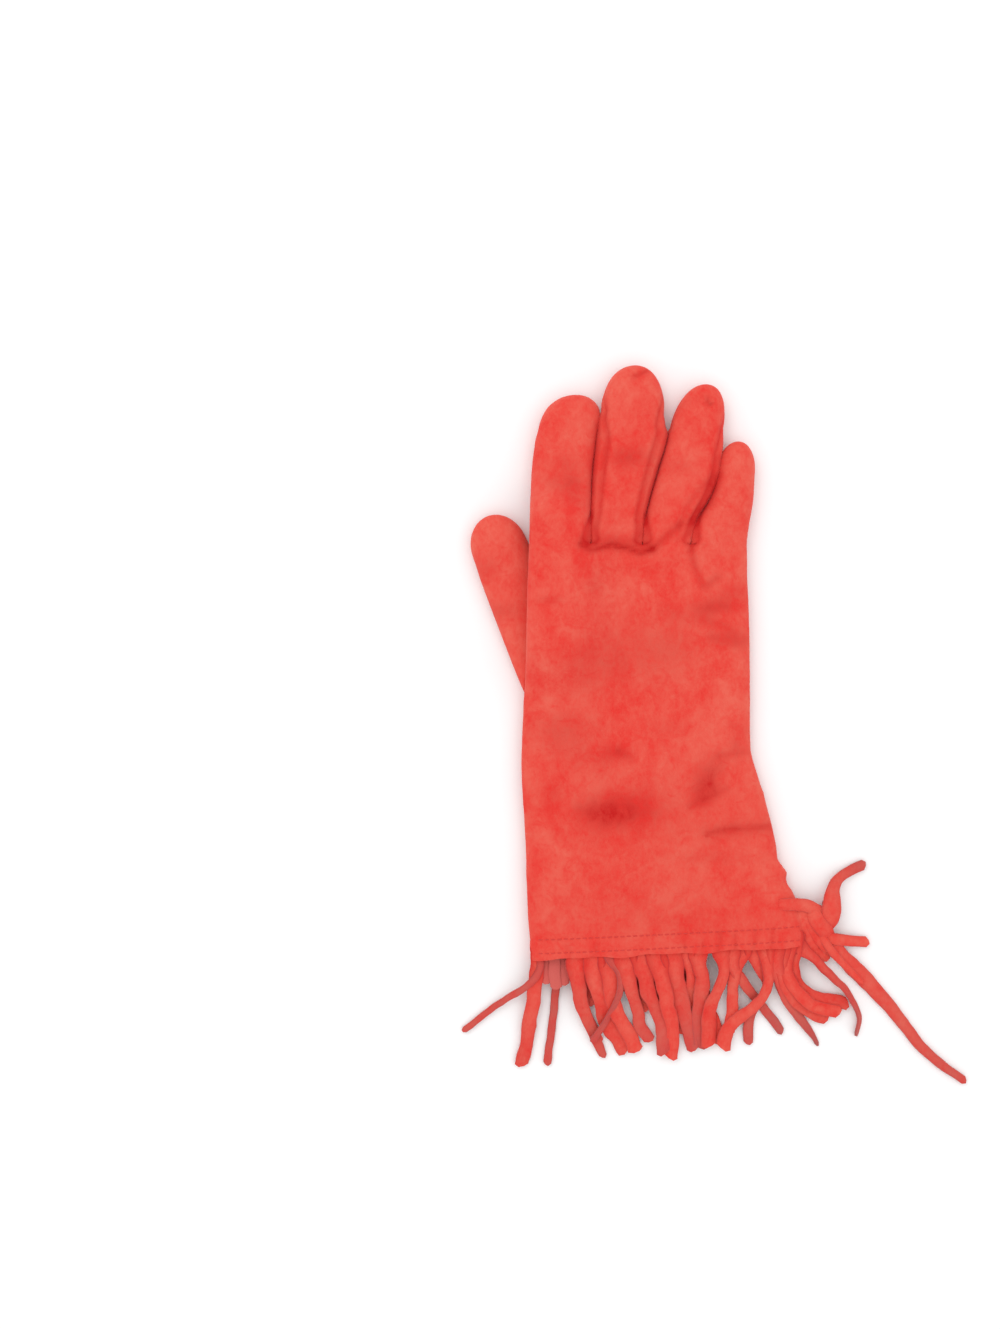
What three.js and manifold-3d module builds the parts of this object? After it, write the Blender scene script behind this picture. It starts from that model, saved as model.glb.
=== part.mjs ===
// A fringed suede dress glove for the right hand, lying palm down as it does on a table.
// Millimetres, +Z up. Fingers point along +Y, the thumb side is -X, the hem of the cuff is at y = 0.
// The leather is one skin, worked out ring by ring along Y and cut into the pieces it is sewn from.
// Back and palm are one piece folded at the index side; here they part along that fold as well.

import * as THREE from 'three';
import { mergeVertices } from 'three/addons/utils/BufferGeometryUtils.js';
import Module from 'manifold-3d';

const wasm = await Module();
wasm.setup();

// Driving dimensions
const WALL = 1.1; // suede
const SEAM = 0.32; // gap between two pieces sewn edge to edge
const CORNER_SEAM = 0.12; // share of a side's height left open where the edges meet square
const FORK_SEAM = { back: 0.24, palm: 0.38 }; // and right at a fork, where the wall's own thickness shows
const KNUCKLES = 178.5; // y of the finger forks
const FORKS = [ - 21.5, 0.9, 21.5 ]; // x of the three forks
const ROUNDING = 15; // length over which a finger turns from flat to round beyond its fork
const HEM_SLANT = 0.05; // the hem rises towards the little finger side
const BAND_DEEP = 9.5; // heading of the fringe, sewn round the inside of the hem
const BAND_IN = WALL + 0.65; // depth of its outer side below the cuff's outer side
const STRIP_WIDE = 4.1;
const STRIP_THICK = 1.0;
const LACE_WIDE = 5.0;
const LACE_THICK = 1.5;

// Outline of the hand and cuff from above, hem first: the edges and the height at the middle.
const HAND = [
	{ y: - 1, left: - 47.0, right: 70.6, tall: 13.2 },
	{ y: 10, left: - 47.4, right: 69.8, tall: 12.7 },
	{ y: 20, left: - 47.6, right: 68.2, tall: 12.0 },
	{ y: 28, left: - 47.8, right: 65.6, tall: 11.3 },
	{ y: 35, left: - 48.2, right: 62.6, tall: 10.6 },
	{ y: 42, left: - 48.6, right: 59.6, tall: 10.2 },
	{ y: 52, left: - 49.2, right: 58.2, tall: 9.8 },
	{ y: 72, left: - 50.5, right: 53.4, tall: 10.0 },
	{ y: 81, left: - 50.8, right: 49.8, tall: 10.2 },
	{ y: 90, left: - 50.8, right: 47.3, tall: 10.4 },
	{ y: 112, left: - 49.7, right: 46.4, tall: 10.8 },
	{ y: 124, left: - 49.1, right: 46.4, tall: 11.0 },
	{ y: 136, left: - 48.8, right: 46.4, tall: 11.2 },
	{ y: 160, left: - 48.5, right: 45.9, tall: 11.6 },
	{ y: 170, left: - 48.2, right: 45.4, tall: 11.6 },
	{ y: KNUCKLES, left: - 47.9, right: 45.2, tall: 11.8 },
];

// Fingers from the index to the little one: edges from above at a few places, then the tip.
const FINGERS = [
	{
		tall: 12.4, tip: { x: - 27.5, y: 243.4 },
		edges: [
			{ y: KNUCKLES, left: - 47.9, right: FORKS[ 0 ] },
			{ y: 188, left: - 47.4, right: - 21.9 },
			{ y: 200, left: - 47.1, right: - 21.4 },
			{ y: 212, left: - 46.3, right: - 20.8 },
			{ y: 224, left: - 44.3, right: - 19.0 },
		],
	},
	{
		tall: 13, tip: { x: - 2.5, y: 256 },
		edges: [
			{ y: KNUCKLES, left: FORKS[ 0 ], right: FORKS[ 1 ] },
			{ y: 188, left: - 21.1, right: 0.3 },
			{ y: 200, left: - 20.6, right: 2.9 },
			{ y: 212, left: - 20.0, right: 5.5 },
			{ y: 224, left: - 18.2, right: 8.9 },
			{ y: 236, left: - 17.4, right: 10.4 },
		],
	},
	{
		tall: 12.4, tip: { x: 27.5, y: 247.9 },
		edges: [
			{ y: KNUCKLES, left: FORKS[ 1 ], right: FORKS[ 2 ] },
			{ y: 188, left: 1.2, right: 21.9 },
			{ y: 200, left: 3.7, right: 28.3 },
			{ y: 212, left: 6.3, right: 32.7 },
			{ y: 221, left: 8.9, right: 35.4 },
			{ y: 229, left: 11.4, right: 35.9 },
		],
	},
	{
		tall: 10.8, tip: { x: 43, y: 223.4 },
		edges: [
			{ y: KNUCKLES, left: FORKS[ 2 ], right: 45.2 },
			{ y: 188, left: 22.7, right: 46.2 },
			{ y: 199, left: 28.9, right: 48.0 },
			{ y: 209, left: 32.9, right: 49.1 },
		],
	},
];

// Thumb, a tube lying under the index side of the palm: distance along its axis from the root.
const THUMB = {
	root: { x: - 30, y: 104.6 }, lean: - 21.8, reach: 96, knuckle: 82,
	edges: [
		{ y: 0, half: 12.6, tall: 8.4 },
		{ y: 22, half: 13.5, tall: 8.6 },
		{ y: 48, half: 13.3, tall: 8.7 },
		{ y: 68, half: 12.9, tall: 9.0 },
		{ y: 82, half: 12.3, tall: 9.4 },
	],
};
const THUMB_SIDES = 14;
const THUMB_LIFT = 9.5; // how far the thumb holds the palm above it off the table

// Folds and dents of the back: a ridge or valley along a line, rise above the surface and width.
const FOLDS = [
	{ name: 'wrist crease', from: [ 28, 54.5 ], to: [ 60, 58.5 ], rise: - 1.7, wide: 3.6 },
	{ name: 'roll above it', from: [ 34, 64 ], to: [ 56, 67 ], rise: 0.8, wide: 4.5 },
	{ name: 'cuff dent', from: [ - 18, 62 ], to: [ 2, 65 ], rise: - 0.8, wide: 9 },
	{ name: 'side dent', from: [ 27, 68 ], to: [ 33, 84 ], rise: - 1.0, wide: 6 },
	{ name: 'heel dent', from: [ - 36, 92 ], to: [ - 18, 86 ], rise: - 0.6, wide: 9 },
	{ name: 'palm hollow', from: [ - 20, 128 ], to: [ 12, 134 ], rise: - 0.8, wide: 14 },
	{ name: 'little side pucker', from: [ 26, 150 ], to: [ 42, 158 ], rise: - 0.9, wide: 5 },
	{ name: 'step under the middle finger', from: [ - 24, 173.5 ], to: [ 8, 172.5 ], rise: - 1.6, wide: 3.6 },
	{ name: 'step under the ring finger', from: [ 8, 172.5 ], to: [ 22, 178 ], rise: - 1.5, wide: 3.4 },
	{ name: 'middle knuckle', from: [ - 8, 215 ], to: [ 0, 215.5 ], rise: - 0.8, wide: 5 },
	{ name: 'index knuckle', from: [ - 38, 205 ], to: [ - 30, 203 ], rise: - 0.6, wide: 5 },
];

// Strips of the fringe on the back: where along the heading each starts, as a share from the
// thumb side, how far its end lies to the side, its length and how far it curls back.
const BACK_STRIPS = [
	{ at: 0.018, aside: - 7, long: 47, curl: 0 },
	{ at: 0.060, aside: - 4, long: 38, curl: 2 },
	{ at: 0.103, aside: 16, long: 46, curl: 0 },
	{ at: 0.145, aside: 14, long: 45, curl: - 2 },
	{ at: 0.187, aside: 17, long: 44, curl: 3 },
	{ at: 0.229, aside: 16, long: 43, curl: 0 },
	{ at: 0.271, aside: 10, long: 40, curl: - 3 },
	{ at: 0.313, aside: - 9, long: 40, curl: 5 },
	{ at: 0.355, aside: 12, long: 42, curl: 0 },
	{ at: 0.397, aside: 15, long: 45, curl: 0 },
	{ at: 0.439, aside: 13, long: 41, curl: - 1 },
	{ at: 0.481, aside: 10, long: 36, curl: 0 },
	{ at: 0.523, aside: 9, long: 37, curl: - 2 },
	{ at: 0.565, aside: 5, long: 41, curl: 1 },
	{ at: 0.607, aside: 6, long: 42, curl: - 1 },
	{ at: 0.649, aside: 12, long: 41, curl: 2 },
	{ at: 0.691, aside: 14, long: 38, curl: - 4 },
	{ at: 0.733, aside: 4, long: 39, curl: 4 },
	{ at: 0.775, aside: 2, long: 39, curl: - 3 },
	{ at: 0.817, aside: 9, long: 34, curl: 2 },
	{ at: 0.859, aside: 9, long: 34, curl: 0 },
	{ at: 0.901, aside: 20, long: 41, curl: - 2 },
	{ at: 0.943, aside: 26, long: 33, curl: 3 },
	{ at: 0.985, aside: 24, long: 43, curl: 4 },
];
const PALM_STRIPS = 14;
const STRIP_STEPS = 4;

// The lace: a strap out of its slot in the cuff, a knot beside the cuff and two loose ends.
const LACE_SLOT = { x: 61.2, y: 24, z: 11, long: 6.4, wide: 3.4, deep: 8 };
const STRAP = [
	[ 60.6, 24, 7.4 ], [ 61.0, 24, 10.2 ], [ 63.3, 23.9, 12.6 ], [ 67.6, 23.8, 11.2 ], [ 71.8, 23.6, 7.2 ], [ 76.9, 23.2, 4.4 ],
];
const STRAP_LOW = [ [ 73.0, 15.6, 5.4 ], [ 73.9, 11.4, 4.6 ], [ 74.9, 7.6, 3.6 ] ];
const KNOT = { x: 81.2, y: 20.6, wide: 9.2, deep: 7.6, tall: 6.6 };
const KNOT_LUMPS = [
	{ aside: 0.4, ahead: 3.6, size: 1, turn: 20 },
	{ aside: - 0.4, ahead: - 1.2, size: 0.95, turn: - 14 },
	{ aside: - 0.6, ahead: - 6.2, size: 0.92, turn: 24 },
	{ aside: 0.2, ahead: - 11, size: 0.9, turn: - 8 },
];
const END_UP = [ [ 82.6, 28.8, 3.5 ], [ 84.8, 32.4, 3.4 ], [ 88.6, 36.4, 2.0 ], [ 93.4, 38.8, 1.1 ], [ 98.4, 40.6, 0.9 ] ];
const END_SIDE = [ [ 86.1, 10.2, 3.6 ], [ 90.2, 9.2, 3.0 ], [ 95, 8.0, 1.6 ], [ 99.8, 7.2, 0.9 ] ];
const END_LONG = [
	[ 83.0, 5.1, 2.6 ], [ 88.0, 0.0, 2.2 ], [ 95, - 6.4, 1.4 ], [ 101, - 12.6, 1.0 ], [ 106.6, - 18.6, 0.9 ],
	[ 111.8, - 24.9, 0.9 ], [ 117, - 31.8, 0.9 ], [ 122.5, - 38.7, 0.9 ], [ 131.5, - 46.6, 0.9 ], [ 141.9, - 53.8, 0.9 ],
];
const LONG_END_TAPER = { wide: 6.6, narrow: 3.8 };

// Fineness of the rings
const BACK_STEPS = 4; // across each finger's back
const PALM_STEPS = 3; // and across its palm side
const CAP_ANGLES = [ 28, 50, 66, 78 ]; // degrees round a fingertip
const SPLIT = 0.028; // half the gap between back and palm, as a share of half the height
const SEAM_ANGLE = 38; // degrees above a finger's side at which its side strip is sewn on
const SEAM_TURN = 0.06; // angle that the seam leaves open, in radians, about SEAM wide on a finger
const STRIP_ENDS_AT = 1; // the cap angle at which the side strips stop
const FINGER_ROUND = 2.4; // superellipse exponents of the sections
const HAND_ROUND = 3.2;
const FOLD_HEIGHT = 0.4; // height of the folded side edge, as a share of the whole
const TIP_CLOSE = 0.7; // how bluntly a fingertip closes in height, where 1 is an ellipse
const PALM_FLAT = 0.35; // how much of the palm's roundness is pressed flat on the table
const MOUTH_MIDDLE = [ 10, 2, 5 ]; // a point inside the cuff's mouth

const rad = THREE.MathUtils.degToRad;
const { lerp, smoothstep } = THREE.MathUtils;
const power = ( v, e ) => Math.sign( v ) * Math.abs( v ) ** e;

// A column of a table at y, on a smooth line through its rows.
function along( rows, column, y ) {

	const last = rows.length - 1;
	let i = 0;
	while ( i < last - 1 && y > rows[ i + 1 ].y ) i ++;
	const value = ( k ) => rows[ Math.min( Math.max( k, 0 ), last ) ][ column ];
	const t = ( y - rows[ i ].y ) / ( rows[ i + 1 ].y - rows[ i ].y );
	const turn = ( k ) => ( value( k + 1 ) - value( k - 1 ) ) / 2;
	const t2 = t * t, t3 = t2 * t;
	return ( 2 * t3 - 3 * t2 + 1 ) * value( i ) + ( t3 - 2 * t2 + t ) * turn( i )
		+ ( 3 * t2 - 2 * t3 ) * value( i + 1 ) + ( t3 - t2 ) * turn( i + 1 );

}

// How far the thumb holds the leather up at a place.
function lift( x, y ) {

	const overThumb = smoothstep( - x, 6, 32 ) * smoothstep( y, 108, 136 ) * ( 1 - smoothstep( y, 188, 212 ) );
	return THUMB_LIFT * overThumb;

}

// Height that the folds and a slow waviness add to the back at a place.
function folds( x, y ) {

	let z = 0.3 * Math.sin( x / 11 + y / 23 ) * Math.sin( y / 17 - x / 29 );
	for ( const { from, to, rise, wide } of FOLDS ) {

		const dx = to[ 0 ] - from[ 0 ], dy = to[ 1 ] - from[ 1 ];
		const t = THREE.MathUtils.clamp( ( ( x - from[ 0 ] ) * dx + ( y - from[ 1 ] ) * dy ) / ( dx * dx + dy * dy ), 0, 1 );
		const away = Math.hypot( x - from[ 0 ] - t * dx, y - from[ 1 ] - t * dy );
		z += rise * Math.exp( - ( ( away / wide ) ** 2 ) );

	}

	return z;

}

// A ring's points as shares of its width and height, in the order back, right side, palm, left side.
// Roundness 0 is the section within the hand, flat between the forks, and 1 that of a round finger.
const handShare = ( k ) => ( k < 0 ? 0 : k > 2 ? 1 : ( FORKS[ k ] - along( HAND, 'left', KNUCKLES ) )
	/ ( along( HAND, 'right', KNUCKLES ) - along( HAND, 'left', KNUCKLES ) ) );
const handBulge = ( share ) => ( 1 - Math.abs( 2 * share - 1 ) ** HAND_ROUND ) ** ( 1 / HAND_ROUND );
const edgeInset = ( up, exponent ) => ( 1 - ( 1 - Math.abs( up ) ** exponent ) ** ( 1 / exponent ) ) / 2;
const seamHeight = ( exponent, below = 0 ) => Math.sin( rad( SEAM_ANGLE ) - below ) ** ( 2 / exponent );

function ringOf( finger, roundness ) {

	const lo = handShare( finger - 1 ), hi = handShare( finger );
	const outer = { left: finger === 0, right: finger === FINGERS.length - 1 };
	const inset = edgeInset( seamHeight( HAND_ROUND ), HAND_ROUND );
	const from = outer.left ? inset : lo, to = outer.right ? 1 - inset : hi;
	const points = [];

	const add = ( part, flat, round, fork ) => points.push( {
		part, fork, up: lerp( flat.up, round.up, roundness ), across: lerp( flat.across, round.across, roundness ),
	} );

	const row = ( side ) => {

		const steps = side > 0 ? BACK_STEPS : PALM_STEPS;
		for ( let i = 0; i <= steps; i ++ ) {

			const t = side > 0 ? i / steps : 1 - i / steps;
			const share = lerp( from, to, t );
			const angle = lerp( Math.PI - rad( SEAM_ANGLE ), rad( SEAM_ANGLE ), t );
			const e = 2 / FINGER_ROUND;
			add( side > 0 ? 'back' : 'palm',
				{ across: ( share - lo ) / ( hi - lo ), up: side * handBulge( share ) },
				{ across: ( 1 + power( Math.cos( angle ), e ) ) / 2, up: side * power( Math.sin( angle ), e ) } );

		}

	};

	// A side runs down on the right and up on the left; on an outer edge it follows the hand's fold.
	const side = ( right ) => {

		const open = right ? outer.right : outer.left;
		const heights = open ? [ 1, 0.5, SPLIT, - SPLIT, - 0.5, - 1 ] : [ 1, SPLIT, - SPLIT, - 1 ];
		const inwards = ( distance ) => ( right ? 1 - distance : distance );
		for ( const t of right ? heights : heights.reverse() ) {

			const atSplit = Math.abs( t ) === SPLIT;
			const forkSeam = t > 0 ? FORK_SEAM.back : FORK_SEAM.palm;
			const cornerSeam = lerp( forkSeam, CORNER_SEAM, Math.min( 1, 5 * roundness ) );
			const top = open ? seamHeight( HAND_ROUND ) : handBulge( right ? hi : lo ) - cornerSeam;
			const flatUp = atSplit ? t : t * top;
			const roundUp = atSplit ? t : t * seamHeight( FINGER_ROUND, open ? 0 : SEAM_TURN * roundness );
			add( open ? 'edge' : 'side',
				{ across: inwards( open ? edgeInset( flatUp, HAND_ROUND ) / ( hi - lo ) : 0 ), up: flatUp },
				{ across: inwards( edgeInset( roundUp, FINGER_ROUND ) ), up: roundUp },
				right ? finger : finger - 1 );
			points.at( - 1 ).atSplit = atSplit;

		}

	};

	row( 1 );
	side( true );
	row( - 1 );
	side( false );
	return points;

}

// Where a ring point lies: x, y and z from the edges, the height and what lies below.
function place( point, { y, left, right, tall, close = 1 } ) {

	const x = lerp( left, right, point.across );
	const fold = tall * FOLD_HEIGHT;
	const up = Math.sign( point.up ) * Math.max( Math.abs( point.up ) * close, SPLIT );
	let z = up > 0 ? fold + ( tall - fold ) * up : Math.max( 0, fold * ( 1 + up ) - PALM_FLAT );
	const hemY = y + HEM_SLANT * ( x - HAND[ 0 ].left ) * ( 1 - smoothstep( y, 0, 45 ) );
	z += lift( x, hemY ) + Math.max( 0, up ) * folds( x, hemY );
	return [ x, hemY, z ];

}

// Rings of one finger, or of its share of the hand, from the hem to the tip.
function stations( finger, rowsOfHand ) {

	const { edges, tip, tall } = FINGERS[ finger ];
	const list = rowsOfHand.map( ( y ) => {

		const left = along( HAND, 'left', y ), right = along( HAND, 'right', y );
		const at = ( k ) => lerp( left, right, handShare( k ) );
		return { y, left: at( finger - 1 ), right: at( finger ), tall: along( HAND, 'tall', y ), roundness: 0 };

	} );
	const handTall = along( HAND, 'tall', KNUCKLES );
	const grown = ( y ) => smoothstep( y, KNUCKLES, KNUCKLES + ROUNDING );
	for ( const { y } of [ ...edges.slice( 1, 2 ).map( ( e ) => ( { y: ( e.y + KNUCKLES ) / 2 } ) ), ...edges.slice( 1 ) ] )
		list.push( { y, left: along( edges, 'left', y ), right: along( edges, 'right', y ),
			tall: lerp( handTall, tall, grown( y ) ), roundness: grown( y ) } );

	const shoulder = list.at( - 1 );
	const angles = CAP_ANGLES.flatMap( ( a, i ) => ( i === STRIP_ENDS_AT ? [ a, a + 2 ] : [ a ] ) );
	for ( const degrees of angles ) {

		const sin = Math.sin( rad( degrees ) ), cos = Math.cos( rad( degrees ) );
		const middle = lerp( ( shoulder.left + shoulder.right ) / 2, tip.x, sin );
		const half = ( shoulder.right - shoulder.left ) / 2 * cos;
		list.push( { y: lerp( shoulder.y, tip.y, sin ), left: middle - half, right: middle + half,
			tall, roundness: 1, close: cos ** TIP_CLOSE } );

	}

	list.push( { y: tip.y, left: tip.x, right: tip.x, tall, roundness: 1, close: 0 } );
	return list;

}

// A skin of four-cornered faces with shared corners, each face tagged with the piece it belongs to.
class Skin {

	corners = [];
	index = new Map();
	faces = [];
	seams = [];

	corner( p ) {

		const key = p.map( ( v ) => Math.round( v * 2000 ) ).join();
		if ( ! this.index.has( key ) ) this.index.set( key, this.corners.push( new THREE.Vector3( ...p ) ) - 1 );
		return this.index.get( key );

	}

	face( points, tag ) {

		const corners = points.map( ( p ) => this.corner( p ) ).filter( ( c, i, all ) => all.indexOf( c ) === i );
		if ( corners.length < 3 ) return;
		this.faces.push( { corners: corners.slice( 0, 3 ), tag } );
		if ( corners.length === 4 ) this.faces.push( { corners: [ corners[ 0 ], corners[ 2 ], corners[ 3 ] ], tag } );

	}

	// Outward directions at the corners, alike on both edges of a seam so that its sides are parallel.
	normals() {

		const out = this.corners.map( () => new THREE.Vector3() );
		for ( const { corners } of this.faces )
			corners.forEach( ( k, i ) => {

				const u = this.corners[ corners[ ( i + 1 ) % 3 ] ].clone().sub( this.corners[ k ] );
				const v = this.corners[ corners[ ( i + 2 ) % 3 ] ].clone().sub( this.corners[ k ] );
				out[ k ].addScaledVector( u.clone().cross( v ).normalize(), u.angleTo( v ) );

			} );

		out.forEach( ( n ) => n.normalize() );
		for ( const [ p, q ] of this.seams.map( ( s ) => s.map( ( c ) => this.corner( c ) ) ) ) {

			const both = out[ p ].clone().add( out[ q ] ).normalize();
			out[ p ].copy( both );
			out[ q ].copy( both );

		}

		return out;

	}

}

// Rows of the hand that get a ring, closer together where the leather bends.
const HAND_ROWS = HAND.map( ( row ) => Math.max( row.y, 0 ) );

function gloveSkin() {

	const skin = new Skin();
	FINGERS.forEach( ( _, finger ) => {

		const list = stations( finger, HAND_ROWS );
		const inHand = HAND_ROWS.length - 1;
		const stripEnd = list.length - 1 - CAP_ANGLES.length - 1 + STRIP_ENDS_AT;
		const rings = list.map( ( s ) => ringOf( finger, s.roundness ).map( ( p ) => ( { ...p, at: place( p, s ) } ) ) );
		for ( let j = 0; j < rings.length - 1; j ++ ) {

			const lower = rings[ j ], upper = rings[ j + 1 ], size = lower.length;
			for ( let i = 0; i < size; i ++ ) {

				const next = ( i + 1 ) % size;
				const a = lower[ i ], b = lower[ next ];
				const inner = a.part === 'side' || b.part === 'side';
				if ( inner && j < inHand ) continue;
				const seam = inner && a.part !== b.part;
				const split = a.atSplit && b.atSplit;
				let tag = split ? 'gap' : a.up + b.up > 0 ? 'back' : 'palm';
				if ( inner && j <= stripEnd ) tag = seam || j === stripEnd ? 'gap' : 'fourchette' + ( a.fork ?? b.fork );
				if ( tag === 'gap' && ( seam || split ) ) skin.seams.push( [ a.at, b.at ], [ upper[ i ].at, upper[ next ].at ] );
				skin.face( [ a.at, b.at, upper[ next ].at, upper[ i ].at ], tag );

			}

		}

	} );
	return skin;

}

// A solid from some faces of a skin: the faces moved out by outer and in by inner, closed round the edge.
function sheet( skin, normals, keep, outer, inner ) {

	const position = [];
	const at = ( c, off ) => skin.corners[ c ].clone().addScaledVector( normals[ c ], off ).toArray();
	const edges = new Map();
	for ( const { corners, tag } of skin.faces ) {

		if ( ! keep( tag ) ) continue;
		position.push( ...corners.flatMap( ( c ) => at( c, outer ) ), ...[ ...corners ].reverse().flatMap( ( c ) => at( c, inner ) ) );
		corners.forEach( ( a, i ) => {

			const b = corners[ ( i + 1 ) % 3 ];
			if ( ! edges.delete( b + ',' + a ) ) edges.set( a + ',' + b, [ a, b ] );

		} );

	}

	// The walls' diagonals run the same way on both sides of a seam, so that they stay apart.
	for ( const [ a, b ] of edges.values() ) {

		const [ ao, ai, bo, bi ] = [ at( a, outer ), at( a, inner ), at( b, outer ), at( b, inner ) ];
		if ( skin.corners[ a ].y < skin.corners[ b ].y ) position.push( ...bo, ...ao, ...ai, ...bo, ...ai, ...bi );
		else position.push( ...bo, ...ao, ...bi, ...ao, ...ai, ...bi );

	}

	return solid( new THREE.BufferGeometry().setAttribute( 'position', new THREE.Float32BufferAttribute( position, 3 ) ) );

}

// A closed geometry as a solid that can be joined and cut.
function solid( geometry ) {

	const bare = geometry.clone();
	bare.deleteAttribute( 'normal' );
	bare.deleteAttribute( 'uv' );
	const merged = mergeVertices( bare, 1e-3 );
	return new wasm.Manifold( new wasm.Mesh( {
		numProp: 3,
		vertProperties: merged.attributes.position.array,
		triVerts: new Uint32Array( merged.index.array ),
	} ) );

}

function geometryOf( body ) {

	const { numProp, numVert, vertProperties, triVerts } = body.getMesh();
	const position = new Float32Array( numVert * 3 );
	for ( let i = 0; i < numVert; i ++ ) position.set( vertProperties.subarray( i * numProp, i * numProp + 3 ), i * 3 );
	const geometry = new THREE.BufferGeometry().setAttribute( 'position', new THREE.BufferAttribute( position, 3 ) );
	geometry.setIndex( new THREE.BufferAttribute( triVerts, 1 ) );
	geometry.computeVertexNormals();
	return geometry;

}

// The thumb's outer or inner volume, a closed tube along its leaning axis.
function thumbVolume( inset ) {

	const { root, lean, reach, knuckle, edges } = THUMB;
	const rows = edges.map( ( e ) => ( { d: e.y, half: e.half, tall: e.tall, close: 1 } ) );
	const { half, tall } = edges.at( - 1 );
	for ( const degrees of CAP_ANGLES )
		rows.push( { d: lerp( knuckle, reach, Math.sin( rad( degrees ) ) ),
			half: half * Math.cos( rad( degrees ) ), tall, close: Math.cos( rad( degrees ) ) ** TIP_CLOSE } );

	const cos = Math.cos( rad( lean ) ), sin = Math.sin( rad( lean ) );
	const point = ( d, across, z ) => new THREE.Vector3( root.x + d * sin + across * cos, root.y + d * cos - across * sin, z );
	const e = 2 / FINGER_ROUND;
	const rings = rows.map( ( row ) => Array.from( { length: THUMB_SIDES }, ( _, i ) => {

		const a = 2 * Math.PI * i / THUMB_SIDES;
		const fold = row.tall * FOLD_HEIGHT;
		const up = power( Math.sin( a ), e ) * row.close;
		const rise = up > 0 ? ( row.tall - fold - inset ) * up : ( fold - inset ) * up * 1.08;
		const d = row.close < 1 ? row.d - inset : row.d;
		return point( d, ( row.half - Math.min( inset, row.half / 2 ) ) * power( Math.cos( a ), e ), Math.max( inset, fold + rise ) );

	} ) );
	const tip = point( reach - inset, 0, tall * FOLD_HEIGHT );
	return solid( loft( [ ...rings, rings[ 0 ].map( () => tip ) ] ) );

}

// The whole hand as a filled volume, its leather moved out by some distance.
function filledHand( skin, normals, out ) {

	const position = [];
	const at = ( c ) => skin.corners[ c ].clone().addScaledVector( normals[ c ], out ).toArray();
	const open = new Map();
	for ( const { corners } of skin.faces ) {

		position.push( ...corners.flatMap( at ) );
		corners.forEach( ( a, i ) => {

			const b = corners[ ( i + 1 ) % 3 ];
			if ( ! open.delete( b + ',' + a ) ) open.set( a + ',' + b, [ a, b ] );

		} );

	}

	for ( const [ a, b ] of open.values() ) position.push( ...at( b ), ...at( a ), ...MOUTH_MIDDLE );
	return solid( new THREE.BufferGeometry().setAttribute( 'position', new THREE.Float32BufferAttribute( position, 3 ) ) );

}

// A closed body through rings of corners, with a flat face over each end.
function loft( rings ) {

	const position = [];
	const face = ( a, b, c ) => {

		if ( Math.min( a.distanceTo( b ), b.distanceTo( c ), c.distanceTo( a ) ) > 1e-3 ) position.push( ...a, ...b, ...c );

	};

	const size = rings[ 0 ].length;
	for ( let j = 1; j < rings.length; j ++ )
		for ( let i = 0; i < size; i ++ ) {

			const next = ( i + 1 ) % size;
			face( rings[ j - 1 ][ i ], rings[ j ][ next ], rings[ j - 1 ][ next ] );
			face( rings[ j - 1 ][ i ], rings[ j ][ i ], rings[ j ][ next ] );

		}

	const first = rings[ 0 ], last = rings.at( - 1 );
	for ( let i = 1; i < size - 1; i ++ ) {

		face( first[ 0 ], first[ i ], first[ i + 1 ] );
		face( last[ 0 ], last[ i + 1 ], last[ i ] );

	}

	return new THREE.BufferGeometry().setAttribute( 'position', new THREE.Float32BufferAttribute( position, 3 ) );

}

// A flat strip of leather along a path, level but for its tilts in degrees at the start and the end.
function strip( points, wide, thick, steps, { corner = 0, tilts = [ 0, 0 ], narrow = wide } = {} ) {

	const t = thick / 2;
	const outline = ( w ) => ( corner
		? [ [ - w + corner, t ], [ - w, t - corner ], [ - w, corner - t ], [ corner - w, - t ],
			[ w - corner, - t ], [ w, corner - t ], [ w, t - corner ], [ w - corner, t ] ]
		: [ [ - w, t ], [ - w, - t ], [ w, - t ], [ w, t ] ] );
	const path = new THREE.CatmullRomCurve3( points.map( ( p ) => new THREE.Vector3( ...p ) ) );
	const up = new THREE.Vector3( 0, 0, 1 );
	return loft( Array.from( { length: steps + 1 }, ( _, i ) => {

		const centre = path.getPointAt( i / steps );
		const ahead = path.getTangentAt( i / steps );
		const tilt = rad( lerp( ...tilts, Math.min( 1, 2.5 * i / steps ) ) );
		const across = ahead.clone().cross( up ).normalize().applyAxisAngle( ahead, tilt );
		const out = across.clone().cross( ahead );
		const half = lerp( wide, narrow, i / steps ) / 2;
		return outline( half ).map( ( [ x, y ] ) => centre.clone().addScaledVector( across, x ).addScaledVector( out, y ) );

	} ) );

}

// The fringe's heading: the rows of skin near the hem that its band follows on the inside.
function headingSkin() {

	const skin = new Skin();
	const rows = [ - 1, BAND_DEEP ];
	FINGERS.forEach( ( _, finger ) => {

		const rings = rows.map( ( y ) => {

			const [ s ] = stations( finger, [ y ] );
			return ringOf( finger, 0 ).map( ( p ) => ( { part: p.part, at: place( p, s ) } ) );

		} );
		rings[ 0 ].forEach( ( a, i ) => {

			const next = ( i + 1 ) % rings[ 0 ].length, b = rings[ 0 ][ next ];
			if ( a.part === 'side' || b.part === 'side' ) return;
			skin.face( [ a.at, b.at, rings[ 1 ][ next ].at, rings[ 1 ][ i ].at ], 'heading' );

		} );

	} );
	return skin;

}

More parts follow.
